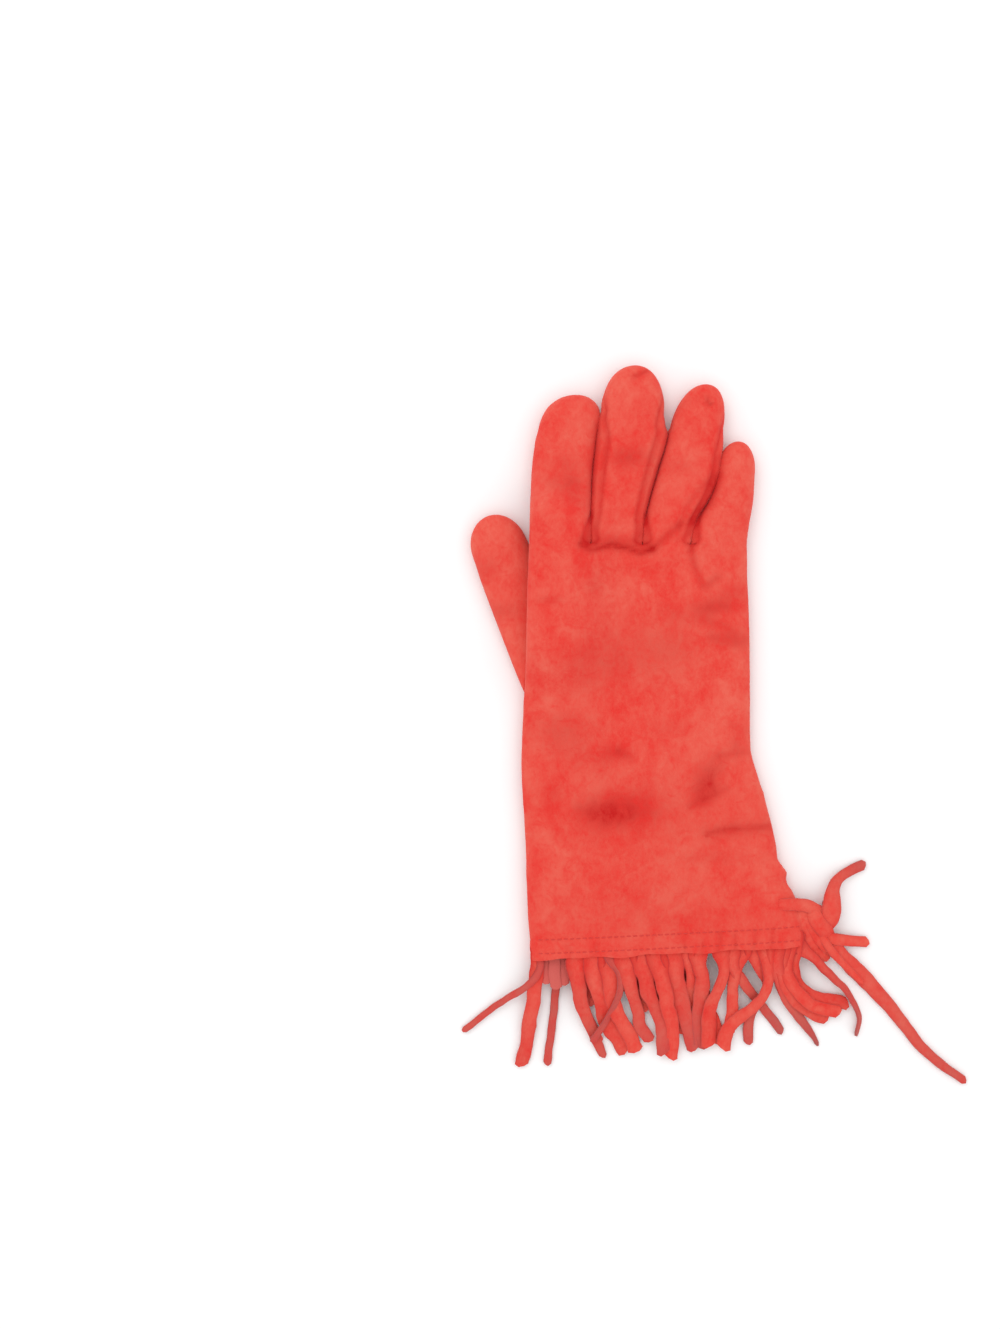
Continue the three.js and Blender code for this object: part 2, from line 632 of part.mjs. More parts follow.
function fringe() {

	const skin = headingSkin();
	let body = sheet( skin, skin.normals(), () => true, - BAND_IN, - BAND_IN - WALL );
	const { left, right, tall } = HAND[ 0 ];
	const middle = - BAND_IN - WALL / 2;
	const rootOf = ( at, side ) => {

		const on = ( share ) => place( { across: share, up: side * handBulge( share ) }, { y: - 1, left, right, tall } );
		const [ before, here, after ] = [ on( at - 0.015 ), on( at ), on( at + 0.015 ) ];
		const tilt = Math.atan2( after[ 2 ] - before[ 2 ], after[ 0 ] - before[ 0 ] );
		const out = side * middle;
		return { x: here[ 0 ] - out * Math.sin( tilt ), y: here[ 1 ], z: here[ 2 ] + out * Math.cos( tilt ),
			tilt: THREE.MathUtils.radToDeg( tilt ) };

	};

	BACK_STRIPS.forEach( ( { at, aside, long, curl }, i ) => {

		const { x, y, z: top, tilt } = rootOf( lerp( 0.048, 0.945, at ), 1 );
		const rest = 1.9 + 0.9 * ( i % 3 );
		const drop = Math.sqrt( long * long - aside * aside );
		const path = [ - 0.06, 0.06, 0.3, 0.62, 1 ].map( ( share ) => {

			const t = Math.max( share, 0 );
			const fall = smoothstep( share, 0, 0.9 );
			return [ x + aside * t ** 1.5 + curl * Math.sin( Math.PI * t ), y - drop * share, lerp( top, rest, fall ) ];

		} );
		body = body.add( solid( strip( path, STRIP_WIDE, STRIP_THICK, STRIP_STEPS, { tilts: [ tilt, 0 ] } ) ) );

	} );

	for ( let i = 0; i < PALM_STRIPS; i ++ ) {

		const at = lerp( 0.1, 0.91, i / ( PALM_STRIPS - 1 ) );
		const { x, y, z: top, tilt } = rootOf( at, - 1 );
		const low = STRIP_THICK / 2 + 0.02;
		const aside = i === 0 ? - 34 : 5 * Math.sin( i * 2.3 ) + 12 * ( at - 0.4 );
		const long = i === 0 ? 33 : 34 + 5 * Math.cos( i * 1.7 );
		const path = [ - 0.08, 0.05, 0.35, 0.65, 1 ].map( ( share ) => {

			const t = Math.max( share, 0 );
			return [ x + aside * t ** 1.6, y - long * share, lerp( top, low, smoothstep( t, 0.04, 0.5 ) ) ];

		} );
		body = body.add( solid( strip( path, STRIP_WIDE, STRIP_THICK, 3, { tilts: [ tilt, 0 ] } ) ) );

	}

	return body.simplify( 0.05 );

}

// The knot: turns of lace drawn tight, joined into one lump.
function knot() {

	const lumps = KNOT_LUMPS.map( ( { aside, ahead, size, turn } ) => {

		const ball = new THREE.SphereGeometry( 0.5, 9, 6 ).scale( KNOT.wide * size, KNOT.deep * size, KNOT.tall * size );
		ball.rotateZ( rad( turn ) ).translate( KNOT.x + aside, KNOT.y + ahead, KNOT.tall * size / 2 + 0.05 );
		return solid( ball );

	} );
	return lumps.reduce( ( whole, lump ) => whole.add( lump ) );

}

const RED = 0xe8453c;
const suede = ( colour, roughness = 0.92 ) => new THREE.MeshStandardMaterial( { color: colour, roughness, metalness: 0 } );

const glove = new THREE.Group();
const pieces = new THREE.Group();
glove.add( pieces );

function add( name, geometry, colour = RED ) {

	const mesh = new THREE.Mesh( geometry, suede( colour ) );
	mesh.name = name;
	pieces.add( mesh );
	return mesh;

}

const skin = gloveSkin();
const normals = skin.normals();
const thumbHollow = thumbVolume( WALL );
const slotBox = new THREE.BoxGeometry( LACE_SLOT.wide, LACE_SLOT.long, LACE_SLOT.deep );
const slot = solid( slotBox.translate( LACE_SLOT.x, LACE_SLOT.y, LACE_SLOT.z ) );

const half = ( name ) => sheet( skin, normals, ( tag ) => tag === name, 0, - WALL );
add( 'back', geometryOf( half( 'back' ).subtract( slot ) ) );
add( 'palm', geometryOf( half( 'palm' ).subtract( thumbHollow ) ) );
[ 'fourchette_index_middle', 'fourchette_middle_ring', 'fourchette_ring_little' ].forEach( ( name, fork ) =>
	add( name, geometryOf( sheet( skin, normals, ( tag ) => tag === 'fourchette' + fork, 0, - WALL ) ) ) );
add( 'thumb', geometryOf( thumbVolume( 0 ).subtract( thumbHollow ).subtract( filledHand( skin, normals, SEAM ) ) ) );
add( 'fringe', geometryOf( fringe() ) );
add( 'tie_strap', strip( STRAP, LACE_WIDE, LACE_THICK, 12, { corner: 0.4 } ) );
add( 'tie_strap_low', strip( STRAP_LOW, LACE_WIDE, LACE_THICK, 8, { corner: 0.4 } ) );
add( 'tie_knot', geometryOf( knot() ) );
add( 'tie_end_upper', strip( END_UP, LACE_WIDE, LACE_THICK, 10, { corner: 0.4 } ) );
add( 'tie_end_side', strip( END_SIDE, LACE_WIDE, LACE_THICK, 10, { corner: 0.4 } ) );
const { wide, narrow } = LONG_END_TAPER;
add( 'tie_end_long', strip( END_LONG, wide, LACE_THICK, 26, { corner: 0.4, narrow } ) );

// The origin is under the middle of the glove and its fringe, on the table, without the lace.
const reach = new THREE.Box3();
pieces.children.filter( ( m ) => ! m.name.startsWith( 'tie' ) ).forEach( ( m ) => reach.expandByObject( m ) );
const centre = reach.getCenter( new THREE.Vector3() );
pieces.position.set( - centre.x, - centre.y, - reach.min.z );

export default glove;
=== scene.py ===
"""A fringed suede glove lying palm down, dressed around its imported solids.

Lengths in the tables are millimetres in the glove's pattern frame: the hem of the cuff is at y = 0,
the fingers point along +Y and the thumb side is -X. place() takes them to the part's frame.
"""

import math
from collections import namedtuple

import bmesh
import bpy
import numpy as np
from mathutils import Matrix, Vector, kdtree, noise
from mathutils.bvhtree import BVHTree


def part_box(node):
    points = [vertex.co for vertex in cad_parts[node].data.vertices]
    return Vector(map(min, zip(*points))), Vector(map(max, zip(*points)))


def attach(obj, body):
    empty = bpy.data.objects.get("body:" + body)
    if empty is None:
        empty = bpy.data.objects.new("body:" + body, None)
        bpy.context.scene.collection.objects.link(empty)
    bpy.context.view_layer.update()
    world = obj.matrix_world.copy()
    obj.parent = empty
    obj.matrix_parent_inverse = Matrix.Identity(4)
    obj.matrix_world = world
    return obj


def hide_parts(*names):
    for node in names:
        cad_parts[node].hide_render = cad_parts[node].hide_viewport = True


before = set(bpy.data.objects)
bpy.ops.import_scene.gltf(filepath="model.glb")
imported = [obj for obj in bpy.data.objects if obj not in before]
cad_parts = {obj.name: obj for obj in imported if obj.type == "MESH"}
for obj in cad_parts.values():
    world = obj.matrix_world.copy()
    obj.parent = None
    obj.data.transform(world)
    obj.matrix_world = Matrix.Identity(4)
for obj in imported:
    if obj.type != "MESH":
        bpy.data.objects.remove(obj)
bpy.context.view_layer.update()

MM = 0.001
LEFTMOST, TIP_TOP = -50.8, 256.0  # pattern x of the hand's left edge, pattern y of the middle fingertip
ORIGIN = np.array(
    [
        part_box("back")[0][0] - LEFTMOST * MM,
        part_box("back")[1][1] - TIP_TOP * MM,
        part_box("palm")[0][2],
    ]
)


def place(points):
    """Pattern millimetres to metres in the part's frame."""
    return ORIGIN + np.asarray(points, float) * MM


# Driving dimensions
WALL = 1.1  # suede
KNUCKLES = 178.5  # y of the finger forks
FORKS = (-21.5, 0.9, 21.5)  # x of the three forks
ROUNDING = 15  # length over which a finger turns from flat to round
HEM_SLANT = 0.05  # the hem rises towards the little finger side
FINGER_ROUND, HAND_ROUND = 2.4, 3.2  # superellipse exponents of the sections
TIP_SQUARE = 0.93  # under 1 makes the fingertips a little squarer than an ellipse
TIP_CLOSE = 0.7  # how bluntly a fingertip closes in height
PALM_FLAT = 0.35  # how much of the palm's roundness is pressed flat on the table
VALLEY_SHADE, VALLEY_WIDE = 2.6, 2.3  # painted shade in the valley where two fingers meet: how dark, and how far it reaches
FOLD_HEIGHT = 0.4  # height of the folded side edge, as a share of the whole
SEAM_ANGLE = 38  # degrees below a finger's side at which its side strip is sewn to the palm
BACK_SEAMS = ((38, 16), (56, 56), (20, 48), (24, 38))  # and above it, left and right of each finger
SEAM_END = 27  # length over which a side strip narrows to its point near the fingertip
PRESS = 0.85  # how deep neighbouring fingers press into each other
FORK_ROOM = 3.7  # half the width of the rounded end of a side strip at its fork
THUMB_LIFT = 9.5  # how far the thumb holds the palm above it off the table
LACE_WIDE, LACE_THICK, KNOT_THICK = 5.0, 1.5, 1.4
ROOT_EXTRA = 2.6  # how much wider the fringe's strips are where they are still joined
JOINED_FROM = -40  # x right of which the strips are joined so
ROOT_SLANT = 0.6  # the share of the hem's slant that the strips' roots follow
UNDER_HEM_SHADE = 1.8  # painted shade on the strips' edges under the hem: how much darker they are
BACK_TUCK, PALM_TUCK = 5, 4  # how far inside the hem the strips start
STRIP_THICK = 1.0
HEM_ROWS = (2.7, 8.6)  # how far above the edge the two rows of stitches run
GROOVE_DEEP, GROOVE_WIDE = 0.4, 1.1  # the groove of a seam
SWELL_TALL, SWELL_AT, SWELL_WIDE = 0.16, 2.2, 1.2  # the fullness beside it
EDGE_DEEP, EDGE_WIDE = 0.32, 0.45  # the rounded edge of the hem
DENT_DEEP, DENT_WIDE = 0.13, 0.8  # the dent along a row of stitches
PUFF_TALL, PUFF_AT, PUFF_WIDE = 0.22, 5.2, 1.9  # the hem's fullness between the two rows
ROW_STEP = 1.3  # spacing of the rings of mesh along the glove

# Outline of the hand and cuff from above: y, left edge, right edge, height at the middle.
HAND = [
    (-1, -47.0, 70.6, 11.4), (10, -47.4, 69.8, 11.2), (20, -48.2, 68.4, 10.9), (27.4, -48.5, 66.0, 10.6),
    (31, -48.6, 64.0, 10.4), (34, -48.7, 63.4, 10.3), (37, -48.8, 63.6, 10.2), (39.6, -48.8, 61.8, 10.1),
    (43, -48.9, 59.6, 10.0), (52, -49.3, 58.3, 9.8), (72, -50.5, 53.6, 10.0), (81, -50.8, 50.4, 10.2),
    (90, -50.8, 48.0, 10.4), (112, -49.9, 47.6, 10.8), (124, -49.3, 47.6, 11.0), (136, -49.0, 47.5, 11.2),
    (160, -48.5, 46.7, 11.6), (170, -48.2, 46.4, 11.6), (KNUCKLES, -47.9, 46.2, 11.8),
]

# Fingers from the index to the little one: height, tip, and rows of y, left edge, right edge.
FINGERS = [
    {
        "tall": 12.4,
        "tip": (-27.4, 243.4),
        "edges": [
            (KNUCKLES, -47.9, FORKS[0]), (188, -47.5, -21.9), (200, -47.1, -21.4), (212, -46.5, -20.6),
            (224, -45.0, -19.2), (230, -43.4, -18.4),
        ],
    },
    {
        "tall": 13,
        "tip": (-2.2, 256),
        "edges": [
            (KNUCKLES, FORKS[0], FORKS[1]), (188, -21.1, 1.4), (200, -20.6, 4.2), (212, -19.8, 7.8),
            (224, -18.6, 11.4), (230, -17.7, 11.2), (236, -16.6, 10.4),
        ],
    },
    {
        "tall": 12.4,
        "tip": (28.4, 247.9),
        "edges": [
            (KNUCKLES, FORKS[1], FORKS[2]), (188, 2.2, 23.4), (200, 4.9, 30.2), (212, 8.4, 34.4),
            (221, 11.2, 36.1), (229, 13.3, 36.0),
        ],
    },
    {
        "tall": 10.8,
        "tip": (42.6, 223.4),
        "edges": [(KNUCKLES, FORKS[2], 46.2), (188, 24.2, 47.4), (199, 30.6, 49.2), (209, 34.0, 49.8)],
    },
]

# Thumb: root, lean in degrees, reach, where its cap starts, and rows of distance, half width, height.
THUMB = {
    "root": (-31.2, 104.6),
    "lean": -21.8,
    "reach": 93.2,
    "knuckle": 78.5,
    "rows": [(0, 12.6, 8.4), (22, 13.5, 8.6), (48, 13.3, 8.7), (68, 12.9, 9.0), (78.5, 12.2, 9.4)],
}

# Creases and dents of the back: a line, its rise above the surface and its width.
FOLDS = [
    ([(29, 54.2), (33, 55.6), (44.4, 56.6), (60, 57.6)], -0.8, 1.2),
    ([(29, 54.2), (44.4, 56.2), (60, 57)], -0.7, 3.4),
    ([(24, 50), (38, 61), (58, 62)], 0.7, 3.5),
    ([(30, 50), (58, 52.5)], 0.5, 3.0),
    ([(-18, 62), (2, 65)], -0.7, 8),
    ([(26, 70), (30, 74), (34, 86)], -1.0, 4.0),
    ([(-9, 89.5), (-4, 87)], -0.7, 2.2),
    ([(-26, 64), (-16, 60), (-6, 63)], -0.5, 3.2),
    ([(-36, 92), (-18, 86)], -0.5, 7),
    ([(34, 88), (47, 89.5)], -0.5, 1.6),
    ([(39, 101), (46, 98)], -0.4, 1.5),
    ([(-20, 128), (12, 134)], -0.7, 13),
    ([(31, 139), (44, 135)], -0.6, 3.0),
    ([(26, 150), (42, 158)], -0.7, 4.5),
    ([(29, 161), (33, 164)], -0.9, 2.0),
    ([(-26, 178), (-21, 175.6), (-12.8, 178), (-5.7, 177), (0, 174.8), (5.4, 176.6)], -1.4, 1.2),
    ([(-24, 178.6), (-12.8, 179.4), (-5.7, 178.6), (2, 177)], -1.0, 3.4),
    ([(5.4, 176.6), (9.4, 180), (17.3, 186.8)], -1.1, 1.8),
    ([(-28, 171.5), (-8, 169.8), (6, 170.6), (20, 177)], 0.9, 3.0),
    ([(-22, 181), (-12, 182), (-4, 181)], 0.5, 3.0),
    ([(24, 182), (21.8, 176)], -0.9, 1.2),
    ([(17, 184), (15.6, 180)], -0.5, 1.2),
    ([(-8, 215), (0, 215.5)], -0.7, 4.5),
    ([(-38, 205), (-30, 203)], -0.6, 4.5),
    ([(-30, 197), (-26, 196)], -0.4, 2.4),
    ([(-3.2, 250.4), (0, 251.6), (3.2, 253.4)], -1.3, 1.1),
    ([(28.2, 242), (28.8, 240), (30, 238.2)], -1.1, 1.0),
    ([(32.4, 208), (29, 196.5), (22.5, 189)], -1.3, 2.2),
    ([(21.6, 177), (23.4, 169), (26.4, 161)], -0.9, 1.6),
    ([(16.6, 186.8), (21, 196), (28, 205)], -0.7, 1.6),
    ([(27, 146), (36, 143.5), (45, 138)], -0.7, 2.2),
    ([(10, 150), (22, 146)], -0.35, 3),
    ([(22, 66), (30, 69.5), (37, 73.5)], -0.7, 1.8),
    ([(30, 63), (48, 66)], 0.5, 3),
    ([(19, 3), (18.4, 9)], -0.5, 1.1),
    ([(26, 3), (26.8, 8)], -0.5, 1.0),
    ([(33.4, 4), (34.4, 12)], -0.6, 1.1),
    ([(41, 4.4), (40.4, 11)], -0.6, 1.0),
    ([(48.6, 5), (49.6, 12)], -0.6, 1.2),
    ([(56, 5), (57, 13)], -0.5, 1.2),
    ([(-30, 1), (-31, 6)], -0.5, 1.2),
    ([(-20, 1), (-19, 7)], -0.4, 1.2),
    ([(14, 236), (24, 241)], -0.25, 2.2),
]

# Darker patches where the nap is worn: middle, half width and height, and how dark.
WORN = [
    ((-33, 100.5), (15, 7), 0.75), ((-10.5, 89.5), (5, 3.4), 0.9), ((27, 77), (4.6, 8), 1.3),
    ((-12.5, 65), (12, 6), 1.1), ((42, 92.5), (3.4, 6), 0.8), ((32, 151.5), (9, 2.8), 1.0),
    ((38, 138), (7, 3), 0.8), ((-20, 160.5), (4, 4), 0.6), ((-39, 154.5), (5, 2), 0.7),
    ((12, 100), (9, 4), 0.35), ((-6, 216), (6, 4.2), 0.6), ((-29, 205), (5, 6), 0.7),
    ((-33, 213), (6, 4), 0.5), ((16, 212), (6, 4), 0.5), ((-60, 150), (7, 4), 0.8),
    ((-66, 168), (6, 5), 0.6), ((32, 44), (18, 3), 0.4), ((-38, 72), (5, 6), 0.4),
    ((10, 20), (52, 16), 0.4), ((5, 62), (44, 18), 0.4),
]

rad = math.radians


def smooth(value, low, high):
    t = np.clip((value - low) / (high - low), 0, 1)
    return t * t * (3 - 2 * t)


def lerp(a, b, t):
    return a + (b - a) * t


def power(value, exponent):
    return np.sign(value) * np.abs(value) ** exponent


def along(rows, column, y):
    """A column of a table at y, on a smooth line through its rows."""
    last = len(rows) - 1
    i = 0
    while i < last - 1 and y > rows[i + 1][0]:
        i += 1

    def value(k):
        return rows[min(max(k, 0), last)][column]

    t = (y - rows[i][0]) / (rows[i + 1][0] - rows[i][0])
    start, end = (value(i + 1) - value(i - 1)) / 2, (value(i + 2) - value(i)) / 2
    t2, t3 = t * t, t**3
    rise = (2 * t3 - 3 * t2 + 1) * value(i) + (t3 - 2 * t2 + t) * start
    return rise + (3 * t2 - 2 * t3) * value(i + 1) + (t3 - t2) * end


def lift(x, y):
    """How far the thumb holds the leather up at a place."""
    return THUMB_LIFT * smooth(-x, 6, 32) * smooth(y, 108, 136) * (1 - smooth(y, 188, 212))


def hem_rise(x, y):
    """How far the slanted, slightly wavy hem moves a place up the glove."""
    slant = HEM_SLANT * (x - HAND[0][1]) * (1 - smooth(y, 0, 45))
    return slant + (0.4 * np.sin(x / 5.3) + 0.3 * np.sin(x / 2.9 + 1)) * (1 - smooth(y, 0, 9))


def to_line(x, y, line):
    """Distance from each place to a line of several points."""
    nearest = np.full(np.shape(x), 1e9)
    for (x0, y0), (x1, y1) in zip(line, line[1:]):
        dx, dy = x1 - x0, y1 - y0
        t = np.clip(((x - x0) * dx + (y - y0) * dy) / (dx * dx + dy * dy), 0, 1)
        nearest = np.minimum(nearest, np.hypot(x - x0 - t * dx, y - y0 - t * dy))
    return nearest


def hill(distance, wide):
    """A smooth hill, 1 at no distance."""
    return np.exp(-((distance / wide) ** 2))


def folds(x, y):
    """Height that folds and a slow waviness add to the back, and how dark a place is painted: shade in its
    creases, and worn patches.
    """
    z = 0.3 * np.sin(x / 11 + y / 23) * np.sin(y / 17 - x / 29)
    shade_and_wear = np.zeros(np.shape(x))
    for line, rise, wide in FOLDS:
        shape = hill(to_line(x, y, line), wide)
        z = z + rise * shape
        if rise < 0:
            # painted shade in the creases
            shade_and_wear = shade_and_wear + -rise * shape
    return z, shade_and_wear + worn(x, y)


def worn(x, y):
    """How dark the worn patches are at a place."""
    total = 0
    for (cx, cy), (rx, ry), dark in WORN:
        total = total + dark * np.exp(-(((x - cx) / rx) ** 2) - ((y - cy) / ry) ** 2)
    return total


# The skin of the glove


def hand_share(k):
    if k < 0:
        return 0.0
    if k > 2:
        return 1.0
    left, right = along(HAND, 1, KNUCKLES), along(HAND, 2, KNUCKLES)
    return (FORKS[k] - left) / (right - left)


def hand_bulge(share):
    return (1 - np.abs(2 * share - 1) ** HAND_ROUND) ** (1 / HAND_ROUND)


def edge_inset(up, exponent):
    return (1 - (1 - min(abs(up), 1) ** exponent) ** (1 / exponent)) / 2


def seam_height(exponent):
    return math.sin(rad(SEAM_ANGLE)) ** (2 / exponent)


BACK_STEPS, PALM_STEPS, SIDE_STEPS = 20, 12, 8
CAP_STEPS, STRIP_STEPS = 20, 7  # rings of a fingertip, and how many of them its side strips reach
HALF_TALL = 6.5  # height of a finger's side above its middle
WELD_CELLS = 2000  # cells to a millimetre; points of the skin in one cell are one point


def inset_of(angle):
    """How far in from a round section's side an angle lies, as a share of its width."""
    return (1 - math.cos(angle) ** (2 / FINGER_ROUND)) / 2


def angle_at(inset):
    return math.acos(min(max(1 - 2 * inset, 0) ** (FINGER_ROUND / 2), 1))


def ring_of(finger, roundness, width, insets, taper):
    """Points of a ring: share across, height, kind and fork.

    Kind 0 is back or palm and 1 a side strip. Insets are how far in the seams on the back lie, left
    and right. Taper narrows the side strips, from 1 to 0 at their points.
    """
    lo, hi = hand_share(finger - 1), hand_share(finger)
    outer_left, outer_right = finger == 0, finger == len(FINGERS) - 1
    corner = edge_inset(seam_height(HAND_ROUND), HAND_ROUND)
    start = corner if outer_left else lo
    stop = 1 - corner if outer_right else hi
    exponent = 2 / FINGER_ROUND
    points = []

    def add(kind, flat, rounded, fork=None):
        across = lerp(flat[0], rounded[0], roundness)
        up = lerp(flat[1], rounded[1], roundness)
        points.append((across, up, kind, fork))

    def seam_angle(back, right):
        if outer_right if right else outer_left:
            return rad(SEAM_ANGLE)
        return angle_at(insets[right] / width) if back else rad(SEAM_ANGLE) * taper

    def row(side):
        back = side > 0
        steps = BACK_STEPS if back else PALM_STEPS
        angles = math.pi - seam_angle(back, False), seam_angle(back, True)
        first, final = start, stop
        if back:
            first += 0 if outer_left else insets[0] / width * (hi - lo)
            final -= 0 if outer_right else insets[1] / width * (hi - lo)
        for i in range(steps + 1):
            t = i / steps if back else 1 - i / steps
            share, angle = lerp(first, final, t), lerp(*angles, t)
            flat = ((share - lo) / (hi - lo), side * hand_bulge(share))
            rounded = ((1 + power(math.cos(angle), exponent)) / 2, side * power(math.sin(angle), exponent))
            add(0, flat, rounded)

    def side(right):
        is_outer = outer_right if right else outer_left
        levels = np.linspace(1, -1, SIDE_STEPS + 1)
        for t in levels if right else levels[::-1]:
            if is_outer:
                flat_up = t * seam_height(HAND_ROUND)
                flat = (edge_inset(flat_up, HAND_ROUND) / (hi - lo), flat_up)
                round_up = t * seam_height(FINGER_ROUND)
                rounded = (edge_inset(round_up, FINGER_ROUND), round_up)
            else:
                inset = insets[right]
                gone = (1 - t) * (inset + HALF_TALL)
                over = max(0.0, inset - gone) / width if t > 0 else 0
                down = max(0.0, gone - inset) / HALF_TALL
                top = hand_bulge(hi - over * (hi - lo) if right else lo + over * (hi - lo))
                flat = (over, top * (1 - down) if t > 0 else top * t)
                angle = seam_angle(t > 0, right) * abs(t)
                round_up = np.sign(t) * math.sin(angle) ** exponent
                rounded = (inset_of(angle), round_up)
            if right:
                flat, rounded = (1 - flat[0], flat[1]), (1 - rounded[0], rounded[1])
            add(0 if is_outer else 1, flat, rounded, finger if right else finger - 1)

    row(1)
    side(True)
    row(-1)
    side(False)
    return points


# A section of the glove: its edges and height, how round it is from 0 to 1, how far in its seams
# lie, how wide its side strips still are, how far its tip has closed, and how near a neighbour is.
Station = namedtuple("Station", "y left right tall roundness insets taper close beside")


def pressed(edge, neighbour, side, y):
    """A finger's left or right edge at y against its neighbour's, and how near that is."""
    near = 1 - float(smooth(abs(neighbour - edge), 0.8, 2.2))
    begun = float(smooth(y, KNUCKLES, KNUCKLES + 6))
    return lerp(edge, (edge + neighbour) / 2 + side * PRESS * begun, near), near * begun


def rings_of(finger):
    """Stations of a finger and its share of the hand, from the hem to the tip."""
    edges, tip, tall = (FINGERS[finger][key] for key in ("edges", "tip", "tall"))
    lo, hi = hand_share(finger - 1), hand_share(finger)
    hem = [0, 0.35, 0.9]
    rows = hem + list(np.linspace(1.8, KNUCKLES, round((KNUCKLES - 1.8) / ROW_STEP) + 1))
    stations = []
    for y in rows:
        left, right = along(HAND, 1, y), along(HAND, 2, y)
        ends = lerp(left, right, lo), lerp(left, right, hi)
        stations.append(Station(y, *ends, along(HAND, 3, y), 0.0, (0, 0), 1.0, 1.0, (0, 0)))
    in_hand = len(stations) - 1
    hand_tall = along(HAND, 3, KNUCKLES)
    top = edges[-1][0]
    rows = [KNUCKLES + b for b in (0.25, 0.7, 1.3, 2.1, 3.1, 4.3)]
    rows += list(np.linspace(rows[-1], top, round((top - rows[-1]) / ROW_STEP) + 1)[1:])
    natural = [inset_of(rad(a)) for a in BACK_SEAMS[finger]]
    turns = np.linspace(0, math.pi / 2, CAP_STEPS)[1:]
    cap = [(math.sin(a) ** TIP_SQUARE, max(math.cos(a), 0) ** TIP_SQUARE) for a in turns]
    strip_top = lerp(top, tip[1], cap[STRIP_STEPS - 1][0])

    def seams(y, width):
        """Insets of the two seams in millimetres, round at the fork and pointed at the tip."""
        near, far = min(1.0, (y - KNUCKLES) / 2.4), float(smooth(y, KNUCKLES + 3, KNUCKLES + 15))
        taper = math.sin(max(0.0, min(1.0, (strip_top - y) / SEAM_END)) * math.pi / 2)
        end = math.sqrt(1 - (1 - near) ** 2)
        insets = tuple(lerp(FORK_ROOM, inset_of(angle_at(n) * taper) * width, far) * end for n in natural)
        return insets, taper

    for y in rows:
        grown = float(smooth(y, KNUCKLES, KNUCKLES + ROUNDING))
        left, right = along(edges, 1, y), along(edges, 2, y)
        near_left = near_right = 0
        if finger > 0:
            left, near_left = pressed(left, along(FINGERS[finger - 1]["edges"], 2, y), -1, y)
        if finger < len(FINGERS) - 1:
            right, near_right = pressed(right, along(FINGERS[finger + 1]["edges"], 1, y), 1, y)
        insets, taper = seams(y, right - left)
        height = lerp(hand_tall, tall, grown)
        stations.append(Station(y, left, right, height, grown, insets, taper, 1.0, (near_left, near_right)))
    y0, left, right = stations[-1][:3]
    beside = stations[-1].beside
    for sin, cos in cap:
        middle, half = lerp((left + right) / 2, tip[0], sin), (right - left) / 2 * max(cos, 0)
        y = lerp(y0, tip[1], sin)
        insets, taper = seams(y, max(2 * half, 1.0))
        beside = tuple(near * 0.8 for near in beside)
        closing = cos**TIP_CLOSE
        stations.append(Station(y, middle - half, middle + half, tall, 1.0, insets, taper, closing, beside))
    return stations, in_hand


def ring_points(finger, station):
    """A ring's places in pattern millimetres, with how dark each is painted: shade in creases and valleys,
    and worn patches.
    """
    y, left, right, tall = station[:4]
    shares = ring_of(finger, station.roundness, max(right - left, 1.0), station.insets, station.taper)
    across = np.array([p[0] for p in shares])
    up = np.array([p[1] for p in shares]) * station.close
    x = lerp(left, right, across)
    fold = tall * FOLD_HEIGHT
    flat = PALM_FLAT * np.minimum(1, -4 * up)
    z = np.where(up > 0, fold + (tall - fold) * up, np.maximum(0, fold * (1 + up) - flat))
    hem_y = y + hem_rise(x, y)
    rise, shade_and_wear = folds(x, hem_y)
    over = np.maximum(0, up)
    z = z + lift(x, hem_y) + over * rise
    for near, inside in zip(station.beside, (x - left, right - x)):
        # painted shade along the valley where this finger meets its neighbour
        shade_and_wear = shade_and_wear + near * VALLEY_SHADE * hill(inside, VALLEY_WIDE)
    return np.stack([x, hem_y, z], axis=1), np.minimum(1, 3 * over) * shade_and_wear, shares


def glove_skin():
    """Places, painted shade and wear of each, seam line with its strength and faces by piece of the outer
    skin.
    """
    places, shade_and_wear_values, quads, seam = [], [], {"hand": [], 0: [], 1: [], 2: []}, []
    for finger in range(len(FINGERS)):
        stations, in_hand = rings_of(finger)
        rings = [ring_points(finger, s) for s in stations]
        size = len(rings[0][2])
        base = sum(len(p) for p in places)
        strip_end = len(stations) - CAP_STEPS + STRIP_STEPS
        for ring, shade_and_wear, _ in rings:
            places.append(ring)
            shade_and_wear_values.append(shade_and_wear)
        for j in range(len(rings) - 1):
            shares = rings[j][2]
            for i in range(size):
                k = (i + 1) % size
                inner = shares[i][2] == 1 or shares[k][2] == 1
                if inner and j < in_hand:
                    continue
                corner = inner and shares[i][2] != shares[k][2]
                piece = "hand"
                if inner and j < strip_end:
                    piece = shares[i][3] if shares[i][3] is not None else shares[k][3]
                    if corner:
                        here, following = ((r[0][i] + r[0][k]) / 2 for r in rings[j : j + 2])
                        seam += [(here, stations[j].taper), ((here + following) / 2, stations[j].taper)]
                a, b = base + j * size + i, base + j * size + k
                quads[piece].append((a, b, b + size, a + size))
    places, shade_and_wear_values = np.concatenate(places), np.concatenate(shade_and_wear_values)
    cells = np.round(places * WELD_CELLS).astype(int)
    _, first, index = np.unique(cells, axis=0, return_index=True, return_inverse=True)
    index = index.reshape(-1)
    quads = {piece: [tuple(index[c] for c in quad) for quad in faces] for piece, faces in quads.items()}
    return places[first], shade_and_wear_values[first], seam, quads


def triangles(quads):
    for a, b, c, d in quads:
        for tri in ((a, b, c), (a, c, d)):
            if len(set(tri)) == 3:
                yield tri


